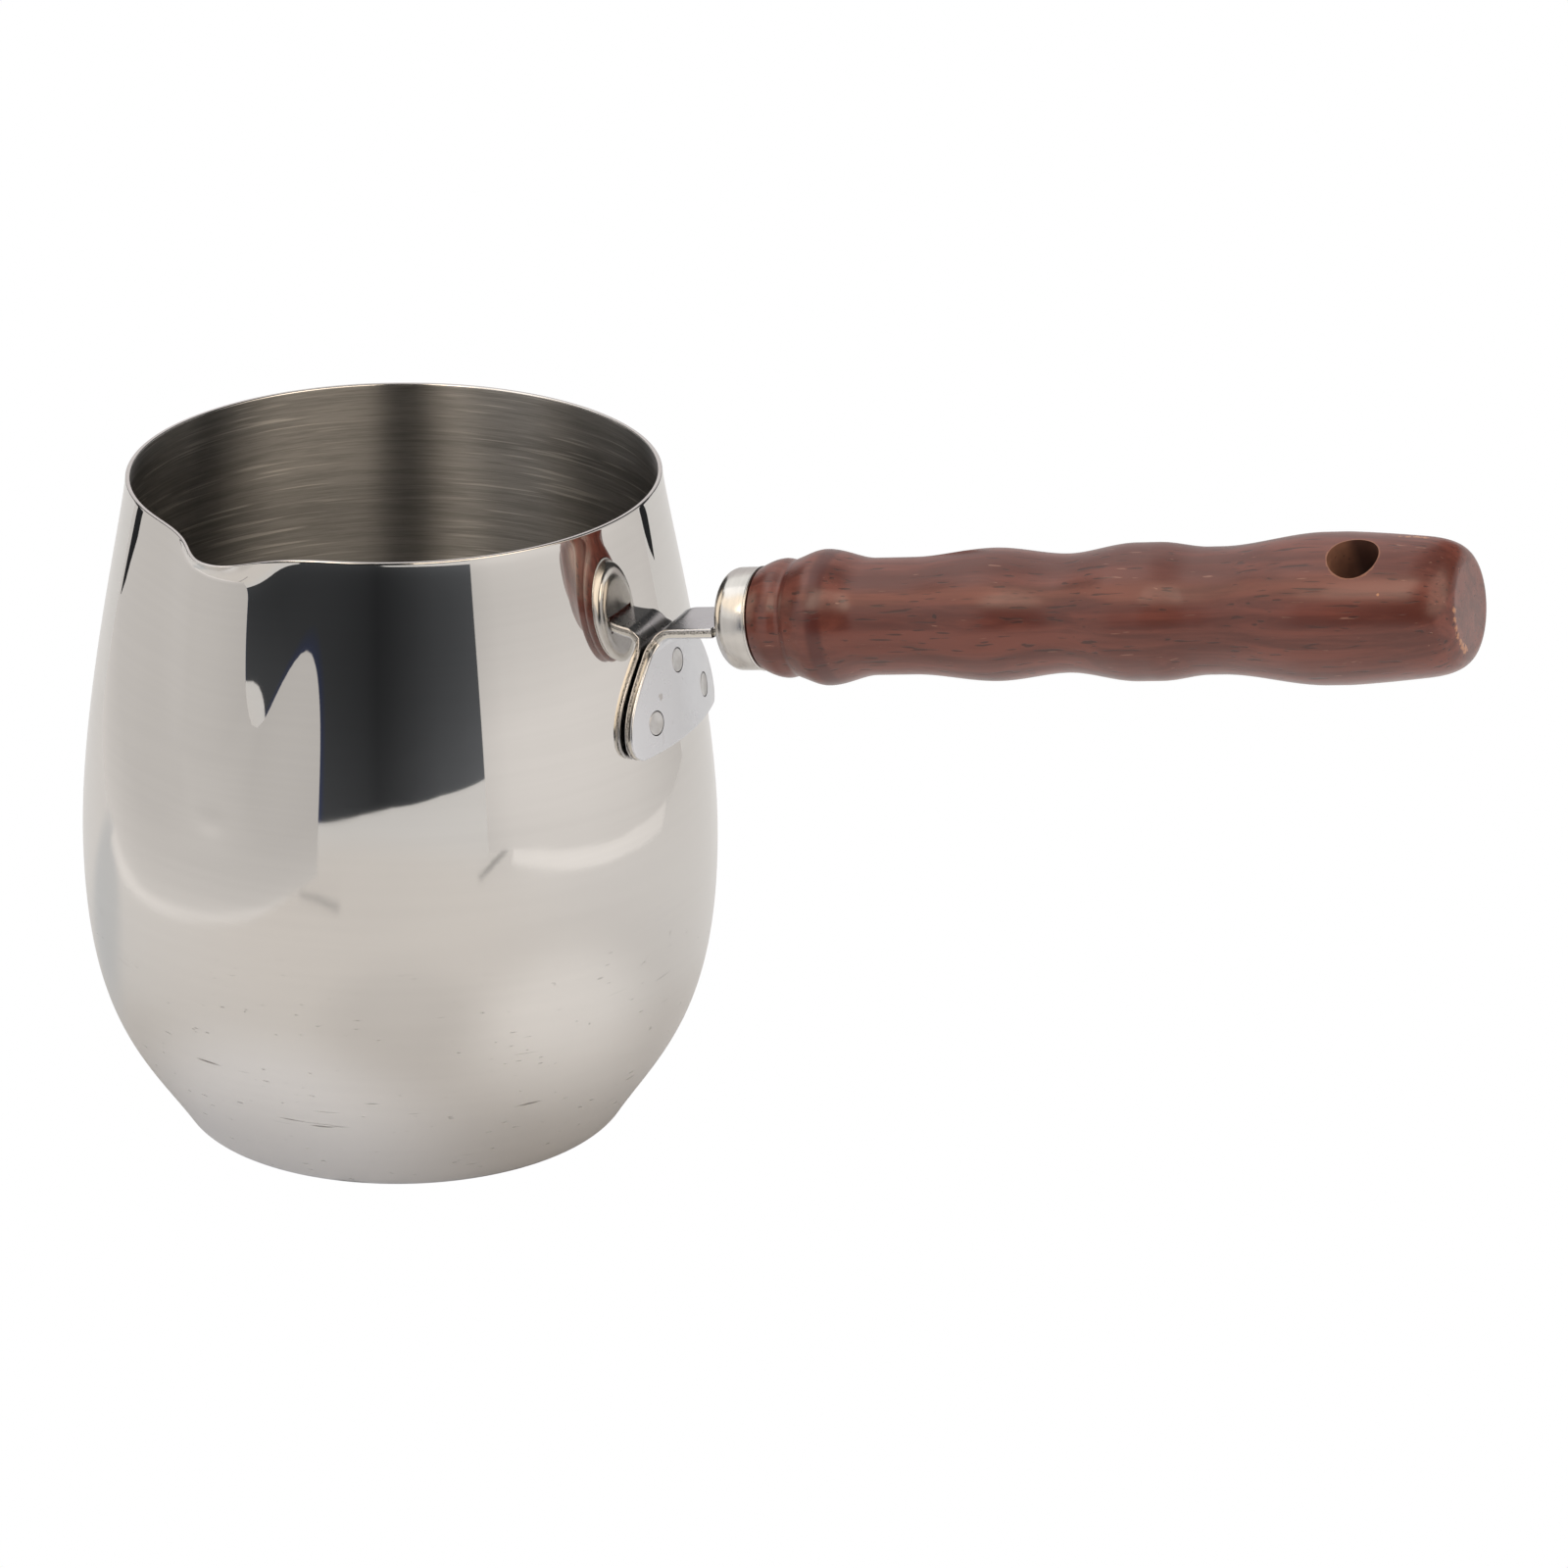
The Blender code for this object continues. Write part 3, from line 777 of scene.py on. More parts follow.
def handle_place(graph: Graph, along: Matrix) -> Socket:
    """Return the place on the surface in the handle's frame, in metres.

    Args:
        graph: The material's graph.
        along: The handle's frame, its Z along the handle.

    Returns:
        The place's socket.
    """
    back = along.inverted()
    node = graph.add("ShaderNodeMapping", at={"Vector": object_place(graph)}, vector_type="POINT")
    node.inputs["Location"].default_value = back.to_translation()
    node.inputs["Rotation"].default_value = back.to_euler("XYZ")
    return node.outputs[0]


@dataclass(frozen=True)
class LacqueredWood:
    """Red-brown hardwood under a satin lacquer, rubbed through at the butt.

    A ring is a band of painted shade, given by its run from the ferrule's face, its reach and its strength;
    the two darken the wood by the groove and on the bead's far flank.  A worn spot or a knot is given by
    its place and its reach.
    """

    mid: Colour = (0.215, 0.052, 0.031)
    deep: Colour = (0.122, 0.026, 0.015)
    # Painted shade: the colour of the dark rings
    ring: Colour = (0.088, 0.012, 0.007)
    pore: Colour = (0.052, 0.014, 0.009)
    fleck: Colour = (0.42, 0.20, 0.13)
    worn: Colour = (0.52, 0.21, 0.09)
    streak_scale: float = 420.0
    pore_scale: float = 2000.0
    figure_share: float = 0.55
    fleck_share: float = 0.55
    pore_share: float = 0.8
    rings: tuple[tuple[float, float, float], ...] = ((0.0114, 0.0006, 0.5), (0.0168, 0.0015, 0.8))
    ring_core: float = 0.4
    worn_spots: tuple[tuple[Point, float], ...] = ()
    knots: tuple[tuple[Point, float], ...] = ()
    spot_scale: float = 1500.0
    hole_centre: Point = (0.0, 0.0, 0.0)
    hole_axis: Point = (0.0, 0.0, 1.0)
    hole_radius: float = 0.0036
    # Painted highlight: a ragged pale band along the hang hole's sharp edge
    hole_edge_highlight: Rub = Rub(0.00045, 700.0)
    hole_edge_highlight_share: float = 0.4
    roughness: float = 0.36
    haze: Haze = Haze(70.0, -0.04, 0.06)
    streak_height: float = 0.8
    grain_height: float = 0.00003
    lacquer: float = 0.55
    lacquer_roughness: float = 0.25

    def build(self, effects: Effects, along: Matrix) -> bpy.types.Material:
        """Build the material.

        Args:
            effects: The shared node groups.
            along: The handle's frame, its Z along the handle.

        Returns:
            The new material.
        """
        finish, graph, shader = start_material("handle_lacquered")
        place = handle_place(graph, along)
        grain = graph.group(effects.grain, Place=place, Streaks=self.streak_scale, Pores=self.pore_scale)
        tint = self.wood(graph, grain, graph.part(place, 2))
        tint = self.wear(graph, effects, tint)
        haze = self.haze.on(graph, effects, place)
        streaks = graph.maths("MULTIPLY", grain.outputs["Streak"], self.streak_height)
        graph.fill(shader, {
            "Base Color": tint,
            "Roughness": graph.maths("ADD", haze, self.roughness),
            "Normal": bump(graph, graph.maths("SUBTRACT", streaks, grain.outputs["Pore"]), self.grain_height),
            "Coat Weight": self.lacquer,
            "Coat Roughness": self.lacquer_roughness})
        return finish

    def wood(self, graph: Graph, grain: bpy.types.Node, run: Socket) -> Socket:
        """Return the colour of the unworn wood.

        Args:
            graph: The material's graph.
            grain: The grain's group.
            run: The run from the ferrule's face.

        Returns:
            The colour's socket.
        """
        tint = graph.mix(graph.ramp(grain.outputs["Streak"], 0.36, 0.64), self.deep, self.mid)
        figure = graph.ramp(grain.outputs["Figure"], 0.42, 0.70, 0.0, self.figure_share)
        tint = graph.mix(figure, tint, self.deep)
        # Painted shade: the rings darken the wood by the groove and on the bead's far flank
        for middle, reach, strength in self.rings:
            away = graph.maths("ABSOLUTE", graph.maths("SUBTRACT", run, middle))
            tint = graph.mix(graph.ramp(away, reach, reach * self.ring_core, 0.0, strength), tint, self.ring)
        tint = graph.mix(graph.maths("MULTIPLY", grain.outputs["Fleck"], self.fleck_share), tint, self.fleck)
        return graph.mix(graph.maths("MULTIPLY", grain.outputs["Pore"], self.pore_share), tint, self.pore)

    def wear(self, graph: Graph, effects: Effects, tint: Socket) -> Socket:
        """Return the wood's colour with its worn spots, its knots and a painted highlight along the hang
        hole's edge.

        Args:
            graph: The material's graph.
            effects: The shared node groups.
            tint: The colour of the unworn wood.

        Returns:
            The colour's socket.
        """
        place = object_place(graph)
        spots = [(*spot, self.worn) for spot in self.worn_spots] + [(*knot, self.pore) for knot in self.knots]
        for spot, reach, shade in spots:
            away = graph.distance(place, spot)
            tint = graph.mix(Rub(reach, self.spot_scale).on(graph, effects, place, away), tint, shade)
        # Painted highlight: a ragged band of the worn colour along the hang hole's edge
        from_centre = graph.vector_maths("SUBTRACT", place, self.hole_centre)
        side = graph.vector_maths("CROSS_PRODUCT", from_centre, self.hole_axis)
        off = graph.add("ShaderNodeVectorMath", operation="LENGTH", at={0: side}).outputs["Value"]
        from_edge = graph.maths("SUBTRACT", off, self.hole_radius)
        rubbed = self.hole_edge_highlight.on(graph, effects, place, from_edge)
        return graph.mix(graph.maths("MULTIPLY", rubbed, self.hole_edge_highlight_share), tint, self.worn)


@dataclass(frozen=True)
class BoredWood:
    """The wall of the hang hole: bare wood with a thin stain.

    Painted shade darkens it just before the hole's middle and keeps it dark from there to the butt's side.
    """

    pale: Colour = (0.46, 0.200, 0.110)
    # Painted shade: the colour of the wall's shaded part, also used for the pores
    dark: Colour = (0.11, 0.045, 0.028)
    middle: float = 0.097
    shade_from: float = 0.0024
    shade_full: float = 0.0006
    streak_scale: float = 420.0
    pore_scale: float = 1300.0
    pore_share: float = 0.7
    roughness: float = 0.45
    streak_roughness: float = 0.3
    grain_height: float = 0.00005

    def build(self, effects: Effects, along: Matrix) -> bpy.types.Material:
        """Build the material.

        Args:
            effects: The shared node groups.
            along: The handle's frame, its Z along the handle.

        Returns:
            The new material.
        """
        finish, graph, shader = start_material("handle_bored")
        place = handle_place(graph, along)
        grain = graph.group(effects.grain, Place=place, Streaks=self.streak_scale, Pores=self.pore_scale)
        streak = grain.outputs["Streak"]
        # Painted light and shade: the wall is pale where lit and dark towards the butt's side
        lit = graph.ramp(graph.part(place, 2), self.middle - self.shade_full, self.middle - self.shade_from)
        tint = graph.mix(graph.maths("MULTIPLY", streak, lit), self.dark, self.pale)
        pores = graph.maths("MULTIPLY", grain.outputs["Pore"], self.pore_share)
        graph.fill(shader, {
            "Base Color": graph.mix(pores, tint, self.dark),
            "Roughness": graph.maths("MULTIPLY_ADD", streak, self.streak_roughness, self.roughness),
            "Normal": bump(graph, streak, self.grain_height)})
        return finish


# Mesh building


def bezier(p0: Sequence[float], p1: Sequence[float], p2: Sequence[float], p3: Sequence[float],
           shares: np.ndarray) -> np.ndarray:
    """Return the points of a cubic curve.

    Args:
        p0: Where it starts.
        p1: The handle of its start.
        p2: The handle of its end.
        p3: Where it ends.
        shares: The shares of its parameter at which points are wanted.

    Returns:
        One row for each share.
    """
    t = np.asarray(shares, dtype=float)[:, None]
    a, b, c, d = (np.asarray(p, dtype=float) for p in (p0, p1, p2, p3))
    return (1 - t) ** 3 * a + 3 * (1 - t) ** 2 * t * b + 3 * (1 - t) * t ** 2 * c + t ** 3 * d


def arc(centre: Sequence[float], radius: float, start: float, end: float, steps: int) -> np.ndarray:
    """Return points on an arc.

    Args:
        centre: Its centre.
        radius: Its radius.
        start: The angle of its first point.
        end: The angle of its last point.
        steps: How many parts it has.

    Returns:
        One row for each point, both ends included.
    """
    angles = np.linspace(start, end, steps + 1)
    return np.column_stack((centre[0] + radius * np.cos(angles), centre[1] + radius * np.sin(angles)))


def ease(share: float) -> float:
    """Return a share that starts and ends level."""
    return share * share * (3.0 - 2.0 * share)


def make_piece(name: str, points: np.ndarray, faces: Sequence[Sequence[int]],
               finishes: Sequence[bpy.types.Material],
               zones: Sequence[int] | None = None) -> bpy.types.Object:
    """Make a smooth-shaded piece.

    Args:
        name: The piece's name.
        points: Its corners in the row's frame.
        faces: Its faces, as rows of corner numbers.
        finishes: Its materials.
        zones: The material number of each face.

    Returns:
        The new object, at the origin.
    """
    mesh = bpy.data.meshes.new(name)
    mesh.from_pydata([tuple(p) for p in points], [], [tuple(f) for f in faces])
    for finish in finishes:
        mesh.materials.append(finish)
    if zones is not None:
        mesh.polygons.foreach_set("material_index", list(zones))
    mesh.shade_smooth()
    mesh.update()
    piece = bpy.data.objects.new(name, mesh)
    bpy.context.scene.collection.objects.link(piece)
    return piece


def revolve(profile: np.ndarray, steps: int,
            zones: Sequence[int]) -> tuple[np.ndarray, list[tuple[int, ...]], list[int]]:
    """Turn an outline about Z.  Its ends lie on the axis, and its outer side runs upwards.

    Args:
        profile: Rows of (radius, height).
        steps: How many columns of faces go round.
        zones: The material number of the faces after each row but the last.

    Returns:
        The points, the faces and the material number of each face.
    """
    angles = np.linspace(0.0, math.tau, steps, endpoint=False)
    inner = profile[1:-1]
    rings = [np.column_stack((r * np.cos(angles), r * np.sin(angles), np.full(steps, z))) for r, z in inner]
    points = np.vstack(([(0.0, 0.0, profile[0][1])], *rings, [(0.0, 0.0, profile[-1][1])]))
    last = len(points) - 1
    faces: list[tuple[int, ...]] = []
    marks: list[int] = []
    for k in range(steps):
        k2 = (k + 1) % steps
        faces.append((0, 1 + k2, 1 + k))
        marks.append(zones[0])
        for row in range(len(inner) - 1):
            a = 1 + row * steps
            faces.append((a + k, a + k2, a + steps + k2, a + steps + k))
            marks.append(zones[row + 1])
        end = 1 + (len(inner) - 1) * steps
        faces.append((end + k, end + k2, last))
        marks.append(zones[-1])
    return points, faces, marks


def turned_piece(name: str, profile: np.ndarray, steps: int, place: Matrix,
                 finishes: Sequence[bpy.types.Material], zone: int = 0) -> bpy.types.Object:
    """Make a piece that is turned about the Z of a frame.

    Args:
        name: The piece's name.
        profile: Rows of (radius, height).
        steps: How many columns of faces go round.
        place: The frame.
        finishes: The piece's materials.
        zone: The material number of its faces.

    Returns:
        The new object.
    """
    points, faces, marks = revolve(profile, steps, [zone] * (len(profile) - 1))
    moved = np.array([place @ Vector(p) for p in points])
    return make_piece(name, moved, faces, finishes, marks)


def apply_modifiers(piece: bpy.types.Object) -> None:
    """Put what a piece's modifiers make into its mesh, and drop them.

    Args:
        piece: The piece.
    """
    bpy.context.view_layer.update()
    done = bpy.data.meshes.new_from_object(piece.evaluated_get(bpy.context.evaluated_depsgraph_get()))
    piece.modifiers.clear()
    old = piece.data
    done.name = old.name
    piece.data = done
    bpy.data.meshes.remove(old)


def cut(piece: bpy.types.Object, tools: Sequence[bpy.types.Object]) -> None:
    """Take tools out of a piece and delete them.

    Args:
        piece: What is cut.
        tools: The cutting shapes.
    """
    for tool in tools:
        change = piece.modifiers.new(tool.name, "BOOLEAN")
        change.operation = "DIFFERENCE"
        change.solver = "EXACT"
        change.material_mode = "TRANSFER"
        change.object = tool
    apply_modifiers(piece)
    for tool in tools:
        bpy.data.objects.remove(tool)


def cylinder_tool(name: str, radius: float, half: float, steps: int, place: Matrix,
                  finish: bpy.types.Material | None = None) -> bpy.types.Object:
    """Make a cutting cylinder along the Z of a frame.

    Args:
        name: The tool's name.
        radius: Its radius.
        half: Half its length.
        steps: How many sides it has.
        place: Its frame.
        finish: The material that it leaves.

    Returns:
        The new object.
    """
    profile = np.array(((0.0, -half), (radius, -half), (radius, half), (0.0, half)))
    return turned_piece(name, profile, steps, place, [finish] if finish else [])


def box_tool(name: str, size: Point, place: Matrix) -> bpy.types.Object:
    """Make a cutting box centred in a frame.

    Args:
        name: The tool's name.
        size: Its three lengths.
        place: Its frame.

    Returns:
        The new object.
    """
    shape = bmesh.new()
    bmesh.ops.create_cube(shape, size=1.0, matrix=place @ Matrix.Diagonal((*size, 1.0)))
    mesh = bpy.data.meshes.new(name)
    shape.to_mesh(mesh)
    shape.free()
    tool = bpy.data.objects.new(name, mesh)
    bpy.context.scene.collection.objects.link(tool)
    return tool


def carry(piece: bpy.types.Object, slot: Slot, *nodes: str) -> bpy.types.Object:
    """Tie a finished piece to the frame.

    Args:
        piece: The piece.
        slot: The record's slot that its finish belongs to; not used.
        nodes: The CAD nodes that it stands for.

    Returns:
        The same piece.
    """
    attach(piece, BODY)
    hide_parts(*nodes)
    return piece


def tidy_normals(piece: bpy.types.Object) -> None:
    """Turn every face of a closed piece outwards.

    Args:
        piece: The piece.
    """
    shape = bmesh.new()
    shape.from_mesh(piece.data)
    bmesh.ops.recalc_face_normals(shape, faces=shape.faces)
    shape.to_mesh(piece.data)
    shape.free()


def mark_sharp(piece: bpy.types.Object, limit: float) -> None:
    """Shade a piece smooth but for edges sharper than a limit in degrees."""
    piece.data.shade_smooth()
    piece.data.set_sharp_from_angle(angle=math.radians(limit))


# The pot


def wrap(angles: np.ndarray) -> np.ndarray:
    """Return angles brought within half a turn of zero."""
    return np.remainder(angles + math.pi, math.tau) - math.pi


@dataclass(frozen=True)
class PressMark:
    """A shallow swelling of the wall that fades out all round, or a dent where its rise is negative.

    Its bearing about Z is in degrees.
    """

    bearing: float
    level: float
    width: float
    tallness: float
    rise: float

    def push(self, bearings: np.ndarray, radii: np.ndarray, heights: np.ndarray) -> np.ndarray:
        """Return how far the mark pushes each point of the wall outwards.

        Args:
            bearings: The points' bearings about Z.
            radii: Their distances from Z.
            heights: Their heights.

        Returns:
            The push at each point.
        """
        across = wrap(bearings - math.radians(self.bearing)) * radii / self.width
        return self.rise * np.exp(-across ** 2 - ((heights - self.level) / self.tallness) ** 2)


@dataclass
class PotBody:
    """The drawn steel shell with its pressed pouring lip.

    The holds are the lengths of the wall curve's four handles, as shares of the fall from the belly to
    the base and of the rise to the rim.  The lip is a channel that fades out down the wall, with a flare
    at its top.  Its fullness, hold, fade and sweep are the powers that shape them.
    """

    height: float = 0.0981
    belly_diameter: float = 0.09218
    belly_height: float = 0.0425
    rim_diameter: float = 0.0767
    base_diameter: float = 0.0598
    base_corner: float = 0.0032
    foot_lean: float = math.radians(32.4)
    rim_lean: float = math.radians(2.8)
    wall: float = 0.0007
    rim_round: float = 0.00022
    holds: tuple[float, float, float, float] = (0.30, 0.63, 0.37, 0.09)
    lip_bearing: float = math.radians(-101.0)
    lip_dip: float = 0.0009
    lip_fullness: float = 2.4
    channel_reach: float = 0.0032
    channel_half_width: float = 0.0086
    channel_end_half_width: float = 0.0077
    channel_length: float = 0.0448
    channel_hold: float = 2.1
    channel_fade: float = 1.8
    flare_reach: float = 0.0025
    flare_half_width: float = 0.00495
    flare_depth: float = 0.0062
    flare_sweep: float = 3.25
    draw_in: float = 0.00032
    draw_in_drop: float = 0.0275
    draw_in_run: float = 0.0123
    draw_in_side: float = 0.0086
    draw_in_width: float = 0.0045
    press_marks: tuple[PressMark, ...] = (PressMark(-100.5, 0.0592, 0.0022, 0.0018, 0.00016),
                                          PressMark(-107.0, 0.0640, 0.0009, 0.0036, -0.00008))
    steps: int = 320
    upper_rows: int = 110
    lower_rows: int = 60
    corner_rows: int = 10
    rim_rows: int = 4
    base_shares: tuple[float, ...] = (0.0, 0.3, 0.6, 0.85, 0.97)
    curve: np.ndarray = field(init=False)

    def __post_init__(self) -> None:
        """Work out the wall's curve from the base corner to the rim."""
        foot, below, above, rim = self.holds
        belly = np.array((self.belly_diameter / 2, self.belly_height))
        corner = np.array((self.base_diameter / 2 + self.base_corner * math.cos(self.foot_lean),
                           self.base_corner * (1.0 - math.sin(self.foot_lean))))
        top = np.array((self.rim_diameter / 2, self.height))
        fall = belly[1] - corner[1]
        rise = top[1] - belly[1]
        out = np.array((math.sin(self.foot_lean), math.cos(self.foot_lean)))
        down = np.array((math.sin(self.rim_lean), -math.cos(self.rim_lean)))
        up = np.array((0.0, 1.0))
        lower = bezier(corner, corner + out * foot * fall, belly - up * below * fall, belly,
                       np.linspace(0.0, 1.0, self.lower_rows + 1))
        upper = bezier(belly, belly + up * above * rise, top + down * rim * rise, top,
                       np.linspace(0.0, 1.0, self.upper_rows + 1))
        self.curve = np.vstack((lower, upper[1:]))

    def radius(self, height: float) -> float:
        """Return the outside radius of the round wall at a height."""
        return float(np.interp(height, self.curve[:, 1], self.curve[:, 0]))

    def lean(self, height: float, step: float = 0.0015) -> float:
        """Return how far the wall leans inwards at a height, from upright."""
        return math.atan2(self.radius(height - step) - self.radius(height + step), 2 * step)

    def outside(self) -> np.ndarray:
        """Work out the outer outline.

        Returns:
            Rows of (radius, height) from the centre of the base up to the rim's rounding.
        """
        half = self.base_diameter / 2
        disc = np.array([(half * share, 0.0) for share in self.base_shares])
        corner = arc((half, self.base_corner), self.base_corner, -math.pi / 2, -self.foot_lean,
                     self.corner_rows)
        wall = self.curve[1:]
        return np.vstack((disc, corner, wall[wall[:, 1] < self.height - self.rim_round]))

    def profile(self) -> tuple[np.ndarray, list[int]]:
        """Work out the whole outline, over the rim and down inside.

        Returns:
            Rows of (radius, height), and the zone of the wall between each row and the next.
        """
        outer = self.outside()
        step = np.gradient(outer, axis=0)
        across = np.column_stack((-step[:, 1], step[:, 0]))
        across /= np.linalg.norm(across, axis=1)[:, None]
        inner = outer + across * self.wall
        inner[0] = (0.0, self.wall)
        inner = inner[inner[:, 0] >= 0.0][::-1]
        edge = outer[-1][0]
        e = self.rim_round
        out_arc = arc((edge - e, self.height - e), e, 0.0, math.pi / 2, self.rim_rows)
        in_arc = arc((edge - self.wall + e, self.height - e), e, math.pi / 2, math.pi, self.rim_rows)
        rows = np.vstack((outer, out_arc[1:], in_arc, inner[1:]))
        zones = ([PotFace.OUTSIDE.value] * len(outer) + [PotFace.RIM.value] * (len(out_arc) + len(in_arc) - 2)
                 + [PotFace.INSIDE.value] * (len(inner) - 1))
        return rows, zones

    def press(self, points: np.ndarray) -> np.ndarray:
        """Push the lip out of the shell's wall and draw the metal in beside it.

        Args:
            points: The points of the round shell.

        Returns:
            The points after pressing.
        """
        radius = np.maximum(np.hypot(points[:, 0], points[:, 1]), self.wall)
        bearing = np.arctan2(points[:, 1], points[:, 0])
        across = wrap(bearing - self.lip_bearing) * radius
        drop = np.maximum(self.height - points[:, 2], 0.0)
        share = np.minimum(drop / self.channel_length, 1.0)
        half = self.channel_half_width + (self.channel_end_half_width - self.channel_half_width) * share
        channel = self.channel_reach * (1.0 - share ** self.channel_hold) ** self.channel_fade
        flare = self.flare_reach * np.maximum(1.0 - drop / self.flare_depth, 0.0) ** self.flare_sweep
        push = (channel * np.exp(-np.abs(across / half) ** self.lip_fullness)
                + flare * np.exp(-np.abs(across / self.flare_half_width) ** self.lip_fullness))
        drawn = self.draw_in * np.exp(-((drop - self.draw_in_drop) / self.draw_in_run) ** 2)
        sides = sum(np.exp(-((across - side) / self.draw_in_width) ** 2)
                    for side in (-self.draw_in_side, self.draw_in_side))
        marks = sum(mark.push(bearing, radius, points[:, 2]) for mark in self.press_marks)
        stretch = 1.0 + (push - drawn * sides + marks) / radius
        dip = self.lip_dip * push / (self.channel_reach + self.flare_reach)
        return np.column_stack((points[:, 0] * stretch, points[:, 1] * stretch, points[:, 2] - dip))

    def build(self, effects: Effects) -> bpy.types.Object:
        """Build the shell and tie it to the frame.

        Args:
            effects: The shared node groups.

        Returns:
            The piece.
        """
        rows, zones = self.profile()
        points, faces, marks = revolve(rows, self.steps, zones)
        finishes = [PotOutside().build(effects), PotRim().build(effects), PotInside().build(effects)]
        piece = make_piece("pot_shell", self.press(points), faces, finishes, marks)
        return carry(piece, Slot.POT, "pot_body")


# The bracket and its welds


@dataclass
class Bracket:
    """One stamped strip: a plate on the wall, a bend, a tongue and a tang.

    A run is a distance along the strip from its bottom edge.  The insets are shares of the edges'
    rounding, by which the inner columns and the corner's rows keep clear of it.
    """

    pot: PotBody
    sheet: float = 0.0015
    plate_drop: float = 0.0335
    plate_height: float = 0.01366
    plate_width: float = 0.0280
    corner: float = 0.0026
    straight_side: float = 0.0030
    edge_lift: float = 0.0002
    neck_run: float = 0.0124
    side_fullness: float = 1.8
    bend_radius: float = 0.0035
    tongue_width: float = 0.0100
    tongue_length: float = 0.00738
    shoulder: float = 0.0008
    shoulder_run: float = 0.00015
    tang_width: float = 0.0086
    tang_tip: float = 0.0042
    tang_length: float = 0.0340
    slope: float = math.radians(9.4)
    gap: float = 0.0003
    edge_round: float = 0.00028
    edge_points: int = 4
    column_inset: float = 1.4
    row_inset: float = 1.05
    columns: int = 44
    corner_rows: int = 15
    plate_rows: int = 26
    bend_rows: int = 26
    tongue_rows: int = 9
    tang_rows: int = 10
    side_rows: int = 5
    sharp_angle: float = 50.0
    weld_diameter: float = 0.0034
    weld_spacing: float = 0.0164
    low_weld: float = 0.0044
    high_weld: float = 0.0110
    weld_ring: float = 0.00012
    weld_sunk: float = 0.00002
    weld_corner: tuple[Pair, ...] = ((0.0, 0.00010), (0.00003, 0.00003), (0.00010, 0.0))
    weld_dish: tuple[Pair, ...] = ((0.82, 0.00002), (0.62, 0.00009), (0.35, 0.00013), (0.0, 0.00014))
    weld_steps: int = 48
    weld_sharp_angle: float = 60.0
    above_tang: float = 0.0005

    def __post_init__(self) -> None:
        """Work out where the strip turns and ends."""
        self.plate_bottom = self.pot.height - self.plate_drop
        self.plate_end = self.plate_bottom + self.plate_height
        self.bend_middle = self.bend_radius - self.sheet / 2
        self.lean = self.pot.lean(self.plate_end)
        self.bend_length = self.bend_middle * (math.pi / 2 + self.lean - self.slope)
        self.tongue_start = self.plate_height + self.bend_length
        self.face = self.tongue_start + self.tongue_length
        self.tip = self.face + self.tang_length

    def point(self, run: float) -> Pair:
        """Work out where the strip's middle is.

        Args:
            run: The run.

        Returns:
            Its X and its Z.
        """
        if run <= self.plate_height:
            height = self.plate_bottom + run
            return self.pot.radius(height) + self.gap + self.sheet / 2, height
        start = self.pot.radius(self.plate_end) + self.gap + self.sheet / 2
        turned = min(run - self.plate_height, self.bend_length) / self.bend_middle
        bearing = math.pi + self.lean - turned
        x = start + self.bend_middle * (math.cos(self.lean) + math.cos(bearing))
        z = self.plate_end + self.bend_middle * (math.sin(self.lean) + math.sin(bearing))
        beyond = max(0.0, run - self.tongue_start)
        return x + beyond * math.cos(self.slope), z + beyond * math.sin(self.slope)

    def half_width(self, run: float) -> float:
        """Work out half the strip's width.

        Args:
            run: The run.

        Returns:
            Half the width there.
        """
        if run < self.corner:
            rounding = math.sqrt(max(0.0, self.corner ** 2 - (self.corner - run) ** 2))
            return self.plate_width / 2 - self.corner + rounding
        if run < self.face - self.shoulder:
            share = min(1.0, max(0.0, (run - self.straight_side) / self.neck_run))
            wide = (self.plate_width - self.tongue_width) / 2
            return self.tongue_width / 2 + wide * (1.0 - share ** self.side_fullness)
        share = max(0.0, (run - self.face) / self.tang_length)
        return self.tang_width / 2 + (self.tang_tip - self.tang_width) / 2 * share

    def place(self, run: float, side: float) -> Vector:
        """Work out a point of the middle surface, which hugs the wall and is flat beyond the bend.

        Args:
            run: The run.
            side: The sideways distance from its middle.

        Returns:
            The point.
        """
        x, z = self.point(run)
        hug = 1.0 - ease(min(1.0, max(0.0, (run - self.plate_height) / self.bend_length)))
        on_wall = math.sqrt(max(0.0, x * x - side * side))
        lift = self.edge_lift * (2.0 * side / self.plate_width) ** 2
        return Vector((x + hug * (on_wall + lift - x), side, z))

    def out(self, run: float, side: float, step: float = 0.00005) -> Vector:
        """Work out the direction out of the strip's outer face.

        Args:
            run: The run.
            side: The sideways distance from its middle.
            step: How far apart the points are that it is taken from.

        Returns:
            The direction, of length 1.
        """
        along = self.place(min(run + step, self.tip), side) - self.place(max(run - step, 0.0), side)
        across = self.place(run, side + step) - self.place(run, side - step)
        return across.cross(along).normalized()

    def rounding(self) -> list[float]:
        """Return how far in from an edge the points of its rounding lie."""
        angles = np.linspace(0.0, math.pi / 2, self.edge_points)
        return [self.edge_round * (1.0 - math.cos(a)) for a in angles]

    def stations(self) -> list[float]:
        """Work out the runs at which the strip has a row of points.

        Returns:
            The runs, from the bottom edge to the tip.
        """
        ends = self.rounding()
        clear = self.edge_round * self.row_inset
        angles = np.linspace(0.0, math.pi / 2, self.corner_rows)
        corner = [r for r in (self.corner * (1.0 - math.cos(a)) for a in angles) if r > clear]
        plate = list(np.linspace(self.corner, self.plate_height, self.plate_rows))[1:]
        bend = list(np.linspace(self.plate_height, self.tongue_start, self.bend_rows))[1:]
        neck = self.face - self.shoulder
        tongue = list(np.linspace(self.tongue_start, neck - self.shoulder_run, self.tongue_rows))[1:]
        tang = list(np.linspace(self.face, self.tip - self.edge_round, self.tang_rows))
        return ends + corner + plate + bend + tongue + [neck] + tang + [self.tip - x for x in ends[-2::-1]]

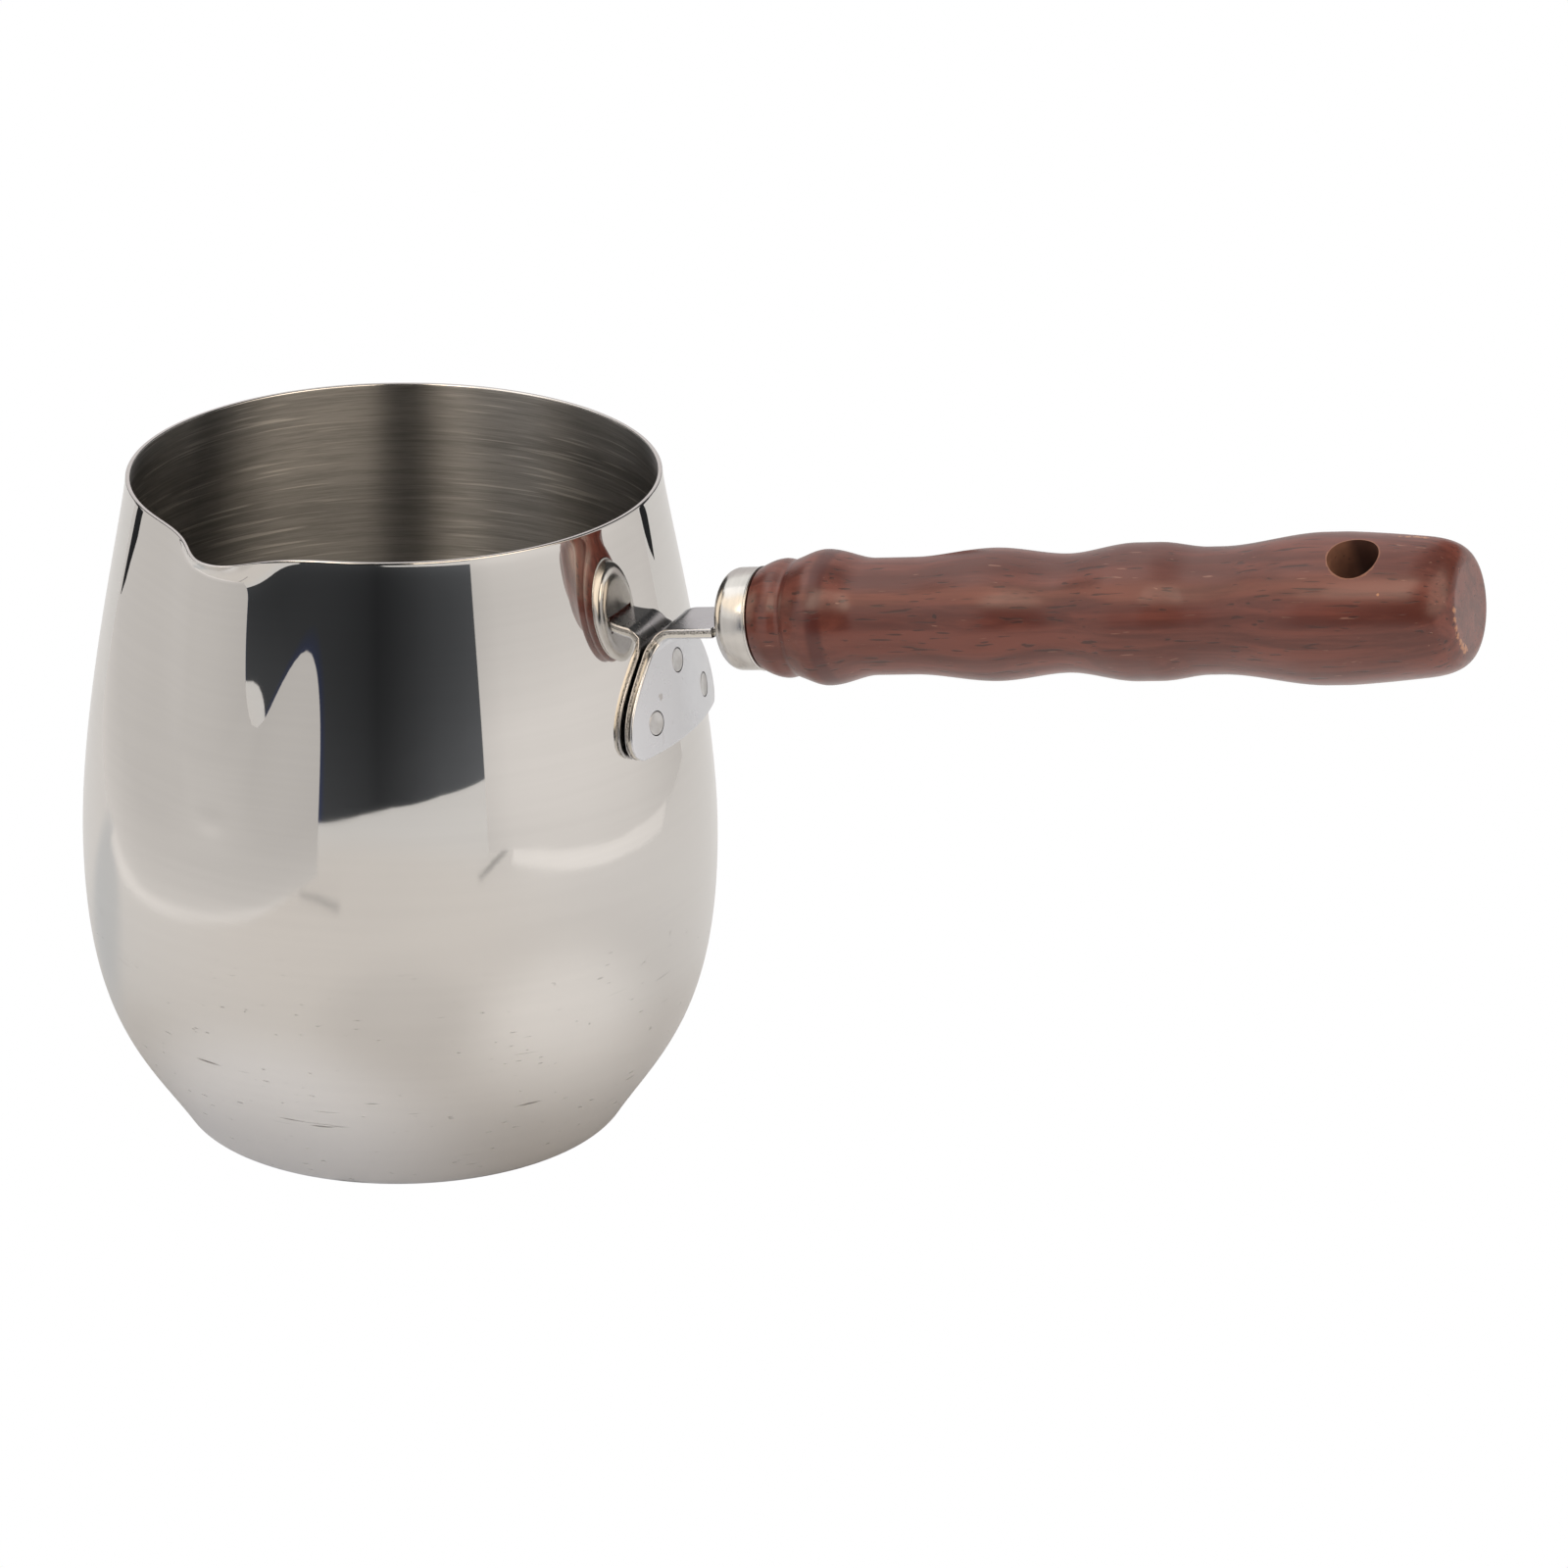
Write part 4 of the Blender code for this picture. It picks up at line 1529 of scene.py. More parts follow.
    def section(self, run: float) -> list[float]:
        """Work out the points of one row.

        Args:
            run: The row's run along the strip from its bottom edge.

        Returns:
            The points' sideways distances from the strip's middle.
        """
        wide = self.half_width(run)
        inset = self.rounding()
        shares = np.linspace(-1.0, 1.0, self.columns + 1)[1:-1]
        inner = list(shares * (wide - self.edge_round * self.column_inset))
        return [-wide + d for d in inset] + inner + [wide - d for d in inset[::-1]]

    def drop(self, run: float, side: float) -> float:
        """Work out how far the rounding of the edges takes a face of the strip down.

        Args:
            run: The run.
            side: The sideways distance from its middle.

        Returns:
            The drop.
        """
        e = self.edge_round
        depth = min(self.half_width(run) - abs(side), run, self.tip - run)
        return e - math.sqrt(max(0.0, e * e - max(0.0, e - depth) ** 2))

    def build(self, effects: Effects) -> bpy.types.Object:
        """Build the strip with its rounded faces and cut sides.

        Args:
            effects: The shared node groups.

        Returns:
            The piece.
        """
        half = self.sheet / 2
        tops, bottoms, sides, grid = [], [], [], []
        for run in self.stations():
            first = len(tops)
            for side in self.section(run):
                middle, out = self.place(run, side), self.out(run, side)
                rise = half - self.drop(run, side)
                tops.append(middle + out * rise)
                bottoms.append(middle - out * rise)
                sides.append((middle, out))
            grid.append(list(range(first, len(tops))))
        faces = [(row[c], row[c + 1], above[c + 1], above[c])
                 for row, above in zip(grid, grid[1:]) for c in range(len(row) - 1)]
        count = len(tops)
        low = [tuple(count + k for k in face[::-1]) for face in faces]
        loop = grid[0] + [row[-1] for row in grid[1:]] + grid[-1][-2::-1] + [row[0] for row in grid[-2:0:-1]]
        level_top = half - self.edge_round
        points = tops + bottoms
        rings = [loop]
        for level in np.linspace(level_top, -level_top, self.side_rows + 1)[1:-1]:
            start = len(points)
            points += [sides[k][0] + sides[k][1] * level for k in loop]
            rings.append(list(range(start, start + len(loop))))
        rings.append([count + k for k in loop])
        walls = [(ring[k], below[k], below[(k + 1) % len(loop)], ring[(k + 1) % len(loop)])
                 for ring, below in zip(rings, rings[1:]) for k in range(len(loop))]
        zones = [SheetFace.ROLLED.value] * (2 * len(faces)) + [SheetFace.SHEARED.value] * len(walls)
        finishes = [RolledSheet().build(effects), ShearedEdge().build()]
        piece = make_piece("stamped_bracket", np.array(points), faces + low + walls, finishes, zones)
        self.lay_out_edge(piece, len(loop), self.side_rows, 2 * len(faces))
        tidy_normals(piece)
        seat_radius = self.weld_diameter / 2 + self.weld_ring
        cut(piece, [cylinder_tool("seat", seat_radius, self.sheet * 2, self.weld_steps, seat)
                    for seat in self.weld_seats().values()])
        mark_sharp(piece, self.sharp_angle)
        return carry(piece, Slot.BRACKET, "handle_bracket")

    def lay_out_edge(self, piece: bpy.types.Object, around: int, bands: int, first: int) -> None:
        """Give the cut side a map whose V runs through the sheet.

        Args:
            piece: The strip.
            around: How many faces go round it.
            bands: How many rows of faces its side has.
            first: The number of the first face of the side.
        """
        layer = piece.data.uv_layers.new(name="edge")
        for band in range(bands):
            for k in range(around):
                face = piece.data.polygons[first + band * around + k]
                for corner, (du, dv) in zip(face.loop_indices, ((0, 0), (0, 1), (1, 1), (1, 0))):
                    layer.data[corner].uv = ((k + du) / around, (band + dv) / bands)

    def weld_seats(self) -> dict[str, Matrix]:
        """Work out where the welds are.

        Returns:
            For each weld's node a frame with its origin in the middle of the sheet and its Z square to the
            wall.
        """
        half = self.weld_spacing / 2
        places = {"spot_weld_high": (0.0, self.high_weld), "spot_weld_lip_side": (-half, self.low_weld),
                  "spot_weld_far_side": (half, self.low_weld)}
        seats = {}
        for name, (side, rise) in places.items():
            origin = self.place(rise, side)
            bearing = math.atan2(origin.y, origin.x)
            lean = self.pot.lean(self.plate_bottom + rise)
            level = math.cos(lean)
            square = Vector((level * math.cos(bearing), level * math.sin(bearing), math.sin(lean)))
            seat = square.to_track_quat("Z", "Y").to_matrix().to_4x4()
            seat.translation = origin
            seats[name] = seat
        return seats

    def build_welds(self, effects: Effects) -> list[bpy.types.Object]:
        """Build the three weld faces, each a dished disc in its seat.

        Args:
            effects: The shared node groups.

        Returns:
            The pieces.
        """
        finish = WeldFace().build(effects)
        r = self.weld_diameter / 2
        half = self.sheet / 2
        top = half - self.weld_sunk
        profile = np.array([(0.0, -half), (r, -half)]
                           + [(r - inwards, top - down) for inwards, down in self.weld_corner]
                           + [(r * share, top - down) for share, down in self.weld_dish])
        pieces = []
        for name, seat in self.weld_seats().items():
            face = name.replace("spot_weld", "weld_face")
            piece = turned_piece(face, profile, self.weld_steps, seat, [finish])
            mark_sharp(piece, self.weld_sharp_angle)
            pieces.append(carry(piece, Slot.WELD, name))
        return pieces

    def handle_frame(self) -> Matrix:
        """Work out the handle's frame.

        Returns:
            The frame, its origin on the ferrule's face and its Z along the handle.
        """
        x, z = self.point(self.face)
        turn = Matrix.Rotation(math.pi / 2 - self.slope, 4, "Y")
        origin = Vector((x - self.above_tang * math.sin(self.slope), 0.0,
                         z + self.above_tang * math.cos(self.slope)))
        return Matrix.Translation(origin) @ turn


# The ferrule and the handle


@dataclass
class Ferrule:
    """A pressed metal cup over the end of the wood, with a slot for the tang."""

    along: Matrix
    diameter: float = 0.0146
    length: float = 0.0055
    wall: float = 0.0005
    corner: float = 0.0022
    groove_depth: float = 0.00004
    groove_from: float = 0.00025
    groove_full: float = 0.0001
    lip_height: float = 0.00012
    lip_run: float = 0.0005
    lip_start: float = -math.pi / 2.6
    slot_size: Pair = (0.0025, 0.0092)
    above_tang: float = 0.0005
    steps: int = 144
    corner_rows: int = 16
    lip_rows: int = 8
    inner_corner_rows: int = 8
    face_shares: tuple[float, ...] = (0.0, 0.4, 0.75, 0.93)
    sharp_angle: float = 40.0

    def build(self, effects: Effects) -> bpy.types.Object:
        """Build the cup.

        Args:
            effects: The shared node groups.

        Returns:
            The piece.
        """
        outer = self.diameter / 2
        flat = outer - self.corner
        inner = outer - self.wall
        groove = outer - self.groove_depth
        lip_round = self.lip_run / 2
        start = self.length - self.lip_run
        face = np.array([(flat * share, 0.0) for share in self.face_shares])
        corner = arc((flat, self.corner), self.corner, -math.pi / 2, 0.0, self.corner_rows)
        neck = np.array(((outer, start - self.groove_from), (groove, start - self.groove_full),
                         (groove, start)))
        lip = arc((outer + self.lip_height - lip_round, start + lip_round), lip_round, self.lip_start,
                  math.pi / 2, self.lip_rows)
        inside = np.array(((inner, self.length), (inner, self.corner)))
        cup = arc((flat, self.corner), self.corner - self.wall, 0.0, -math.pi / 2, self.inner_corner_rows)
        profile = np.vstack((face, corner, neck, lip, inside, cup[1:], ((0.0, self.wall),)))
        finishes = [NickelPlate().build(effects, self.along)]
        piece = turned_piece("ferrule_cup", profile, self.steps, self.along, finishes)
        thick, wide = self.slot_size
        middle = self.along @ Matrix.Translation((self.above_tang, 0.0, 0.0))
        cut(piece, [box_tool("slot", (thick, wide, self.wall * 4), middle)])
        mark_sharp(piece, self.sharp_angle)
        return carry(piece, Slot.FERRULE, "ferrule")


@dataclass
class Handle:
    """The turned grip with its swells, heel and hang hole.

    The runs give the grip's diameter after each stretch of its length.  A worn spot or a knot is given by
    its run, its radius, its turn up from the side that faces the viewer in degrees, and its reach.
    """

    along: Matrix
    start: float = 0.0058
    front_radius: float = 0.0074
    spigot_radius: float = 0.0065
    spigot_start: float = 0.0008
    spigot_chamfer: float = 0.0012
    runs: tuple[tuple[float, float], ...] = (
        (0.0034, 0.0169), (0.0010, 0.0166), (0.0051, 0.0192), (0.0074, 0.01645), (0.0058, 0.01645),
        (0.0125, 0.0186), (0.0109, 0.01655), (0.0103, 0.0192), (0.0034, 0.0192), (0.0072, 0.01765),
        (0.0020, 0.01765), (0.0154, 0.0210), (0.0030, 0.0210))
    taper_run: float = 0.0115
    taper_diameter: float = 0.0193
    taper_power: float = 1.3
    butt_run: float = 0.0061
    butt_diameter: float = 0.0126
    butt_hold: float = 0.60
    butt_round: float = 0.33
    butt_crown: float = 0.072
    groove_place: float = 0.0108
    groove_depth: float = 0.00016
    groove_width: float = 0.00045
    hole_diameter: float = 0.0072
    hole_from_butt: float = 0.0141
    hole_roll: float = math.radians(28.0)
    steps: int = 160
    row_run: float = 0.0004
    front_rows: int = 15
    taper_rows: int = 24
    butt_rows: int = 32
    butt_shares: tuple[float, ...] = (0.94, 0.8, 0.55, 0.28, 0.0)
    hole_steps: int = 72
    sharp_angle: float = 38.0
    worn: tuple[tuple[float, float, float, float], ...] = (
        (0.1107, 0.0063, 14.0, 0.0009), (0.1107, 0.0063, 2.0, 0.0010), (0.1107, 0.0063, -9.0, 0.0010),
        (0.1107, 0.0063, -20.0, 0.0010), (0.1107, 0.0063, -31.0, 0.0011), (0.1107, 0.0063, -42.0, 0.0013),
        (0.1107, 0.0063, -52.0, 0.0014), (0.1017, 0.0099, 94.0, 0.0006), (0.1028, 0.0098, 96.0, 0.0008),
        (0.1038, 0.0098, 98.0, 0.0011), (0.1050, 0.0096, 97.0, 0.0013), (0.10116, 0.00997, 28.6, 0.0004))
    knots: tuple[tuple[float, float, float, float], ...] = ((0.03538, 0.00884, 17.6, 0.0008),)

    @property
    def length(self) -> float:
        """The distance from the ferrule's face to the butt face."""
        return self.start + sum(run for run, _ in self.runs) + self.taper_run + self.butt_run

    def outline(self) -> np.ndarray:
        """Work out the outline of the grip.

        Returns:
            Rows of (radius, run) from the ferrule to the centre of the butt.
        """
        stations = []
        run = self.start
        for step, diameter in self.runs:
            run += step
            stations.append((run, diameter / 2))
        first_run, first = stations[0]
        rows = [(self.front_radius + (first - self.front_radius) * math.sin(math.pi / 2 * t),
                 self.start + (first_run - self.start) * t) for t in np.linspace(0.0, 1.0, self.front_rows)]
        for (a, ra), (b, rb) in zip(stations, stations[1:]):
            count = max(3, round((b - a) / self.row_run))
            rows += [(ra + (rb - ra) * ease(k / count), a + (b - a) * k / count) for k in range(1, count + 1)]
        heel_run, heel = stations[-1]
        fall = heel - self.taper_diameter / 2
        rows += [(heel - fall * t ** self.taper_power, heel_run + self.taper_run * t)
                 for t in np.linspace(0.0, 1.0, self.taper_rows + 1)[1:]]
        slope = self.taper_power * fall / self.taper_run
        hold = self.butt_run * self.butt_hold
        side = (self.taper_diameter / 2, heel_run + self.taper_run)
        edge = (self.butt_diameter / 2, side[1] + self.butt_run)
        crown = (edge[0] + self.butt_run * self.butt_round, edge[1] - self.butt_run * self.butt_crown)
        corner = bezier(side, (side[0] - slope * hold, side[1] + hold), crown, edge,
                        np.linspace(0.0, 1.0, self.butt_rows + 1)[1:])
        face = [(edge[0] * t, edge[1]) for t in self.butt_shares]
        rows = np.vstack((np.array(rows), corner, face))
        away = (rows[:, 1] - self.groove_place) / self.groove_width
        rows[:, 0] -= np.where(rows[:, 0] > 0.0, self.groove_depth * np.exp(-away ** 2), 0.0)
        return rows

    def hole_frame(self) -> Matrix:
        """Work out the hang hole's frame.

        Returns:
            The frame, its origin on the handle's axis and its Z along the hole.
        """
        middle = self.along @ Matrix.Translation((0.0, 0.0, self.length - self.hole_from_butt))
        roll = Matrix.Rotation(self.hole_roll, 4, "Z")
        return middle @ roll @ Matrix.Rotation(math.pi / 2, 4, "Y")

    def build(self, effects: Effects) -> bpy.types.Object:
        """Build the grip.

        Args:
            effects: The shared node groups.

        Returns:
            The piece.
        """
        nose_radius = self.spigot_radius - self.spigot_chamfer
        nose = np.array(((0.0, self.spigot_start), (nose_radius, self.spigot_start),
                         (self.spigot_radius, self.spigot_start + self.spigot_chamfer),
                         (self.spigot_radius, self.start)))
        profile = np.vstack((nose, self.outline()))
        hole = self.hole_frame()
        hole_radius = self.hole_diameter / 2
        lacquer = LacqueredWood(worn_spots=self.places(self.worn), knots=self.places(self.knots),
                                hole_centre=tuple(hole.translation), hole_axis=tuple(hole.col[2].xyz),
                                hole_radius=hole_radius)
        bored = BoredWood(middle=self.length - self.hole_from_butt)
        finishes = [lacquer.build(effects, self.along), bored.build(effects, self.along)]
        piece = turned_piece("turned_handle", profile, self.steps, self.along, finishes,
                             WoodFace.LACQUERED.value)
        drill = cylinder_tool("drill", hole_radius, self.taper_diameter, self.hole_steps, hole,
                              finishes[WoodFace.BORED.value])
        cut(piece, [drill])
        mark_sharp(piece, self.sharp_angle)
        return carry(piece, Slot.HANDLE, "wooden_handle")

    def places(self, marks: Sequence[tuple[float, float, float, float]]) -> tuple[tuple[Point, float], ...]:
        """Work out the places of marks on the grip.

        Args:
            marks: The run, the radius, the turn and the reach of each.

        Returns:
            The place and the reach of each.
        """
        spots = []
        for run, radius, turned, reach in marks:
            angle = math.radians(turned)
            local = Vector((-radius * math.sin(angle), -radius * math.cos(angle), run))
            spots.append((tuple(self.along @ local), reach))
        return tuple(spots)


# The studio


class Hue(Enum):
    """The colours of the studio's light, each at strength 1."""

    WARM = (1.0, 0.960, 0.925)
    TAN = (1.0, 0.86, 0.70)
    COOL = (0.90, 0.94, 1.0)

    def at(self, strength: float) -> Colour:
        """Return the colour at a strength."""
        return tuple(part * strength for part in self.value)

    def row(self, *strengths: float) -> tuple[Colour, ...]:
        """Return the colour at each of several strengths."""
        return tuple(self.at(strength) for strength in strengths)


def glowing_sheet(name: str, rows: Sequence[Sequence[Point]], shades: Sequence[Sequence[Colour]],
                  lights: bool) -> bpy.types.Object:
    """Make a thin sheet that shows only in reflections.

    Args:
        name: The sheet's name.
        rows: Its points, row by row.
        shades: What it gives off at each point.
        lights: Whether it also lights what isn't shiny.

    Returns:
        The sheet.
    """
    n = len(rows[0])
    faces = [(row * n + k, row * n + k + 1, row * n + n + k + 1, row * n + n + k)
             for row in range(len(rows) - 1) for k in range(n - 1)]
    finish = bpy.data.materials.new(name)
    finish.use_nodes = True
    graph = Graph(finish.node_tree)
    graph.tree.nodes.clear()
    shade = graph.add("ShaderNodeAttribute", attribute_name="glow")
    glow = graph.add("ShaderNodeEmission", at={"Color": shade.outputs["Color"], "Strength": 1.0})
    end = graph.add("ShaderNodeOutputMaterial")
    graph.feed(end.inputs["Surface"], glow.outputs[0])
    piece = make_piece(name, np.array([point for row in rows for point in row]), faces, [finish])
    layer = piece.data.attributes.new("glow", "FLOAT_COLOR", "POINT")
    layer.data.foreach_set("color", [value for row in shades for shade in row for value in solid(shade)])
    piece.visible_camera = False
    piece.visible_diffuse = lights
    piece.visible_shadow = False
    return piece


@dataclass(frozen=True)
class Card:
    """A glowing or dark card that stands on end.

    The foot is a line on the floor, and each of its points has the colour that the card gives off there.
    The levels are heights above the floor, each with how strongly the card glows at it.
    """

    name: str
    foot: tuple[Pair, ...]
    glow: tuple[Colour, ...]
    levels: tuple[Pair, ...]
    lights: bool = False

    def build(self) -> bpy.types.Object:
        """Stand the card up.

        Returns:
            The card.
        """
        rows = [[(x, y, height) for x, y in self.foot] for height, _ in self.levels]
        shades = [[(r * gain, g * gain, b * gain) for r, g, b in self.glow] for _, gain in self.levels]
        return glowing_sheet(self.name, rows, shades, self.lights)


@dataclass(frozen=True)
class Strip:
    """A level strip between two lines of points, on the floor or overhead."""

    name: str
    near: tuple[Pair, ...]
    far: tuple[Pair, ...]
    glow: tuple[Colour, ...]
    height: float = 0.0006

    def build(self) -> bpy.types.Object:
        """Lay the strip down and return it."""
        rows = [[(x, y, self.height) for x, y in line] for line in (self.near, self.far)]
        return glowing_sheet(self.name, rows, [self.glow, self.glow], False)


@dataclass(frozen=True)
class Sliver:
    """A small dark card of any outline, given by the two ends of each of its rows."""

    name: str
    ends: tuple[tuple[Point, Point], ...]
    glow: Colour = Hue.COOL.at(0.025)

    def build(self) -> bpy.types.Object:
        """Hang the card up and return it."""
        return glowing_sheet(self.name, self.ends, [(self.glow, self.glow)] * len(self.ends), False)


@dataclass(frozen=True)
class FloorSpot:
    """A soft spot on the floor, whole near its middle and gone at its edge.

    The squeeze draws the spot out along the directions in which it is less than 1.
    """

    middle: Point
    whole: float
    gone: float
    shade: Colour
    strength: float = 1.0
    squeeze: Point = (1.0, 1.0, 1.0)

    def lay(self, graph: Graph, place: Socket, under: object) -> Socket:
        """Lay the spot over a colour.

        Args:
            graph: The floor's graph.
            place: The place on the floor.
            under: The colour or its socket.

        Returns:
            The socket of the colour with the spot on it.
        """
        away = graph.distance(graph.vector_maths("MULTIPLY", place, self.squeeze), self.middle)
        return graph.mix(graph.ramp(away, self.gone, self.whole, 0.0, self.strength), under, self.shade)


@dataclass(frozen=True)
class Lamp:
    """A soft rectangular lamp that shows in no reflection, its power in watts."""

    name: str
    place: Point
    target: Point
    size: Pair
    power: float
    colour: Colour

    def build(self) -> bpy.types.Object:
        """Hang the lamp.

        Returns:
            The lamp.
        """
        data = bpy.data.lights.new(self.name, "AREA")
        data.shape = "RECTANGLE"
        data.size, data.size_y = self.size
        data.energy = self.power
        data.color = self.colour
        lamp = bpy.data.objects.new(self.name, data)
        lamp.location = self.place
        lamp.rotation_euler = (Vector(self.target) - Vector(self.place)).to_track_quat("-Z", "Y").to_euler()
        lamp.visible_camera = False
        lamp.visible_glossy = False
        bpy.context.scene.collection.objects.link(lamp)
        return lamp


def ring(radius: float, *bearings: float) -> tuple[Pair, ...]:
    """Return points round the pot at bearings in degrees."""
    return tuple((radius * math.cos(math.radians(b)), radius * math.sin(math.radians(b))) for b in bearings)


def row_at(distance: float, *sides: float) -> tuple[Pair, ...]:
    """Return points side by side at one Y."""
    return tuple((side, distance) for side in sides)


WHITE: Colour = (1.0, 1.0, 1.0)
BLACK: Colour = (0.0, 0.0, 0.0)
WING_RADIUS = 0.46
OVERHEAD_HEIGHT = 1.15
OVERHEAD_SIDES = (-1.30, -0.95, -0.55, -0.20)
LEFT_WALL_FOOT: tuple[Pair, ...] = (
    (-0.242, 0.088), (-0.186, -0.011), (-0.162, -0.034), (-0.141, -0.061), (-0.120, -0.099),
    (-0.102, -0.127), (-0.078, -0.168), (-0.048, -0.224), (-0.0086, -0.294))
RIGHT_WALL_FOOT: tuple[Pair, ...] = (
    (0.290, -0.203), (0.305, -0.151), (0.300, -0.095), (0.269, 0.002), (0.226, 0.091), (0.183, 0.147),
    (0.150, 0.200))


@dataclass
class Studio:
    """A pale floor between two light walls, open to a dark room on the camera's side."""

    camera_place: Point = (0.4822, -0.9887, 0.4918)
    camera_turn: Point = (math.radians(68.081), 0.0, math.radians(23.095))
    lens: float = 187.32
    sensor: float = 36.0
    clip: Pair = (0.01, 30.0)
    cards: tuple[Card, ...] = (
        Card("left_light_wall", LEFT_WALL_FOOT,
             Hue.WARM.row(0.68, 0.68, 0.68, 0.67, 0.67, 0.66, 0.64, 0.62, 0.60),
             ((0.0, 1.16), (0.012, 1.08), (0.03, 1.0), (0.14, 1.0)), lights=True),
        Card("right_light_wall", RIGHT_WALL_FOOT, Hue.WARM.row(0.78, 0.86, 0.88, 0.88, 0.84, 0.76, 0.70),
             ((0.0, 0.94), (0.012, 0.95), (0.03, 1.0), (0.055, 0.99), (0.080, 0.86), (0.092, 0.80),
              (0.14, 0.78)), lights=True),
        Card("dark_room", ((-0.19, -0.44), (-0.035, -0.500), (-0.003, -0.510), (0.134, -0.583),
                           (0.200, -0.600), (0.260, -0.611), (0.479, -0.567), (0.659, -0.449),
                           (0.80, -0.33)),
             ((0.02, 0.03, 0.09), (0.022, 0.030, 0.075),
              *Hue.COOL.row(0.036, 0.028, 0.022, 0.026, 0.055, 0.080, 0.085)),
             ((0.0, 1.9), (0.036, 1.6), (0.06, 1.35), (0.08, 1.2), (0.12, 1.0), (1.0, 1.0))),
        Card("left_wall_high", LEFT_WALL_FOOT[4:], Hue.WARM.row(0.90, 0.90, 0.92, 0.92, 0.86),
             ((0.14, 0.85), (0.18, 1.0), (0.215, 1.0))),
        Card("left_wing", ring(WING_RADIUS, -83, -92, -101, -110, -119, -129, -139),
             Hue.TAN.row(1.8, 3.9, 3.9, 0.95, 1.2, 1.35, 1.0), ((0.34, 0.5), (0.40, 1.0), (1.04, 1.0))),
        Card("left_wing_end", ring(WING_RADIUS, -139, -150, -162, -178), Hue.TAN.row(1.9, 1.1, 0.45, 0.1),
             ((0.34, 0.5), (0.40, 1.0), (0.62, 1.0))),
        Card("right_wing", ring(WING_RADIUS, 28, 16, 5, -5, -14, -24, -32, -41, -50, -57),
             Hue.TAN.row(0.05, 0.12, 0.85, 1.75, 1.95, 1.6, 1.55, 1.55, 1.6, 1.5),
             ((0.15, 1.0), (1.04, 1.0))),
        Card("back_card", ((-0.80, 0.62), (-0.55, 0.80), (-0.30, 0.88), (-0.06, 0.90)),
             ((0.56, 0.53, 0.52), (0.64, 0.60, 0.59), (0.64, 0.60, 0.59), (0.56, 0.53, 0.52)),
             ((0.10, 0.9), (0.60, 1.0), (1.00, 1.2))),
    )
    strips: tuple[Strip, ...] = (
        Strip("overhead_sheet", row_at(-1.05, *OVERHEAD_SIDES), row_at(0.05, *OVERHEAD_SIDES),
              ((1.35, 1.31, 1.27), (1.4, 1.36, 1.32), (1.4, 1.36, 1.32), (1.1, 1.07, 1.03)), OVERHEAD_HEIGHT),
        Strip("overhead_back", row_at(0.05, *OVERHEAD_SIDES), row_at(1.50, *OVERHEAD_SIDES),
              ((0.9, 0.88, 0.86), (1.0, 0.98, 0.95), (1.0, 0.98, 0.95), (0.8, 0.78, 0.76)), OVERHEAD_HEIGHT),
        Strip("left_foot_light", ((-0.170, -0.004), (-0.146, -0.025), (-0.128, -0.057), (-0.108, -0.091),
                                  (-0.093, -0.118), (-0.069, -0.154), (-0.041, -0.230)),
              LEFT_WALL_FOOT[1:8], Hue.WARM.row(0.88, 0.95, 0.97, 0.95, 0.93, 0.89, 0.84)),
        Strip("right_foot_light", ((0.266, -0.139), (0.247, -0.067), (0.229, -0.003), (0.207, 0.058),
                                   (0.173, 0.114)),
              RIGHT_WALL_FOOT[1:6], Hue.WARM.row(0.98, 1.03, 1.01, 0.95, 0.88)),
        Strip("left_foot_shade", ((-0.030, -0.233), (-0.003, -0.226), (0.021, -0.212)),
              ((-0.030, -0.244), (-0.003, -0.240), (0.026, -0.224)), Hue.WARM.row(0.45, 0.42, 0.38)),
        Strip("right_foot_shade", ((0.300, -0.160), (0.260, -0.168), (0.215, -0.170)),
              ((0.312, -0.172), (0.268, -0.180), (0.217, -0.180)), Hue.WARM.row(0.50, 0.45, 0.45)),
    )
    slivers: tuple[Sliver, ...] = (
        Sliver("left_slit", (((-0.0742, -0.0059, 0.1120), (-0.0738, -0.0150, 0.1120)),
                             ((-0.0790, -0.0040, 0.0900), (-0.0795, -0.0120, 0.0900)),
                             ((-0.0810, -0.0032, 0.0808), (-0.0818, -0.0108, 0.0812)),
                             ((-0.0817, -0.0022, 0.0759), (-0.0826, -0.0070, 0.0764)),
                             ((-0.0820, -0.0017, 0.0726), (-0.0828, -0.0050, 0.0730)),
                             ((-0.0822, -0.0016, 0.0700), (-0.0824, -0.0020, 0.0700)))),
        Sliver("right_slit", (((0.0672, 0.0445, 0.1120), (0.0535, 0.0556, 0.1120)),
                              ((0.0665, 0.0500, 0.0900), (0.0575, 0.0560, 0.0900)),
                              ((0.0662, 0.0520, 0.0826), (0.0605, 0.0562, 0.0826)),
                              ((0.0654, 0.0534, 0.0802), (0.0620, 0.0566, 0.0802)),
                              ((0.0636, 0.0559, 0.0776), (0.0634, 0.0560, 0.0776)))),
    )
    lamps: tuple[Lamp, ...] = (
        Lamp("overhead", (0.15, 0.12, 1.10), (0.04, 0.0, 0.04), (1.7, 1.5), 7.0, (1.0, 0.985, 0.96)),
        Lamp("left_fill", (-0.8, -0.5, 0.6), (0.0, 0.0, 0.05), (0.8, 0.8), 1.5, (1.0, 0.98, 0.96)),
        Lamp("right_fill", (0.9, -0.4, 0.6), (0.06, 0.0, 0.07), (0.8, 0.8), 1.1, (1.0, 0.98, 0.96)),
    )
    floor_half: float = 4.0
    floor_sunk: float = 0.0002
    floor_roughness: float = 0.9
    paper: Colour = (0.92, 0.910, 0.905)
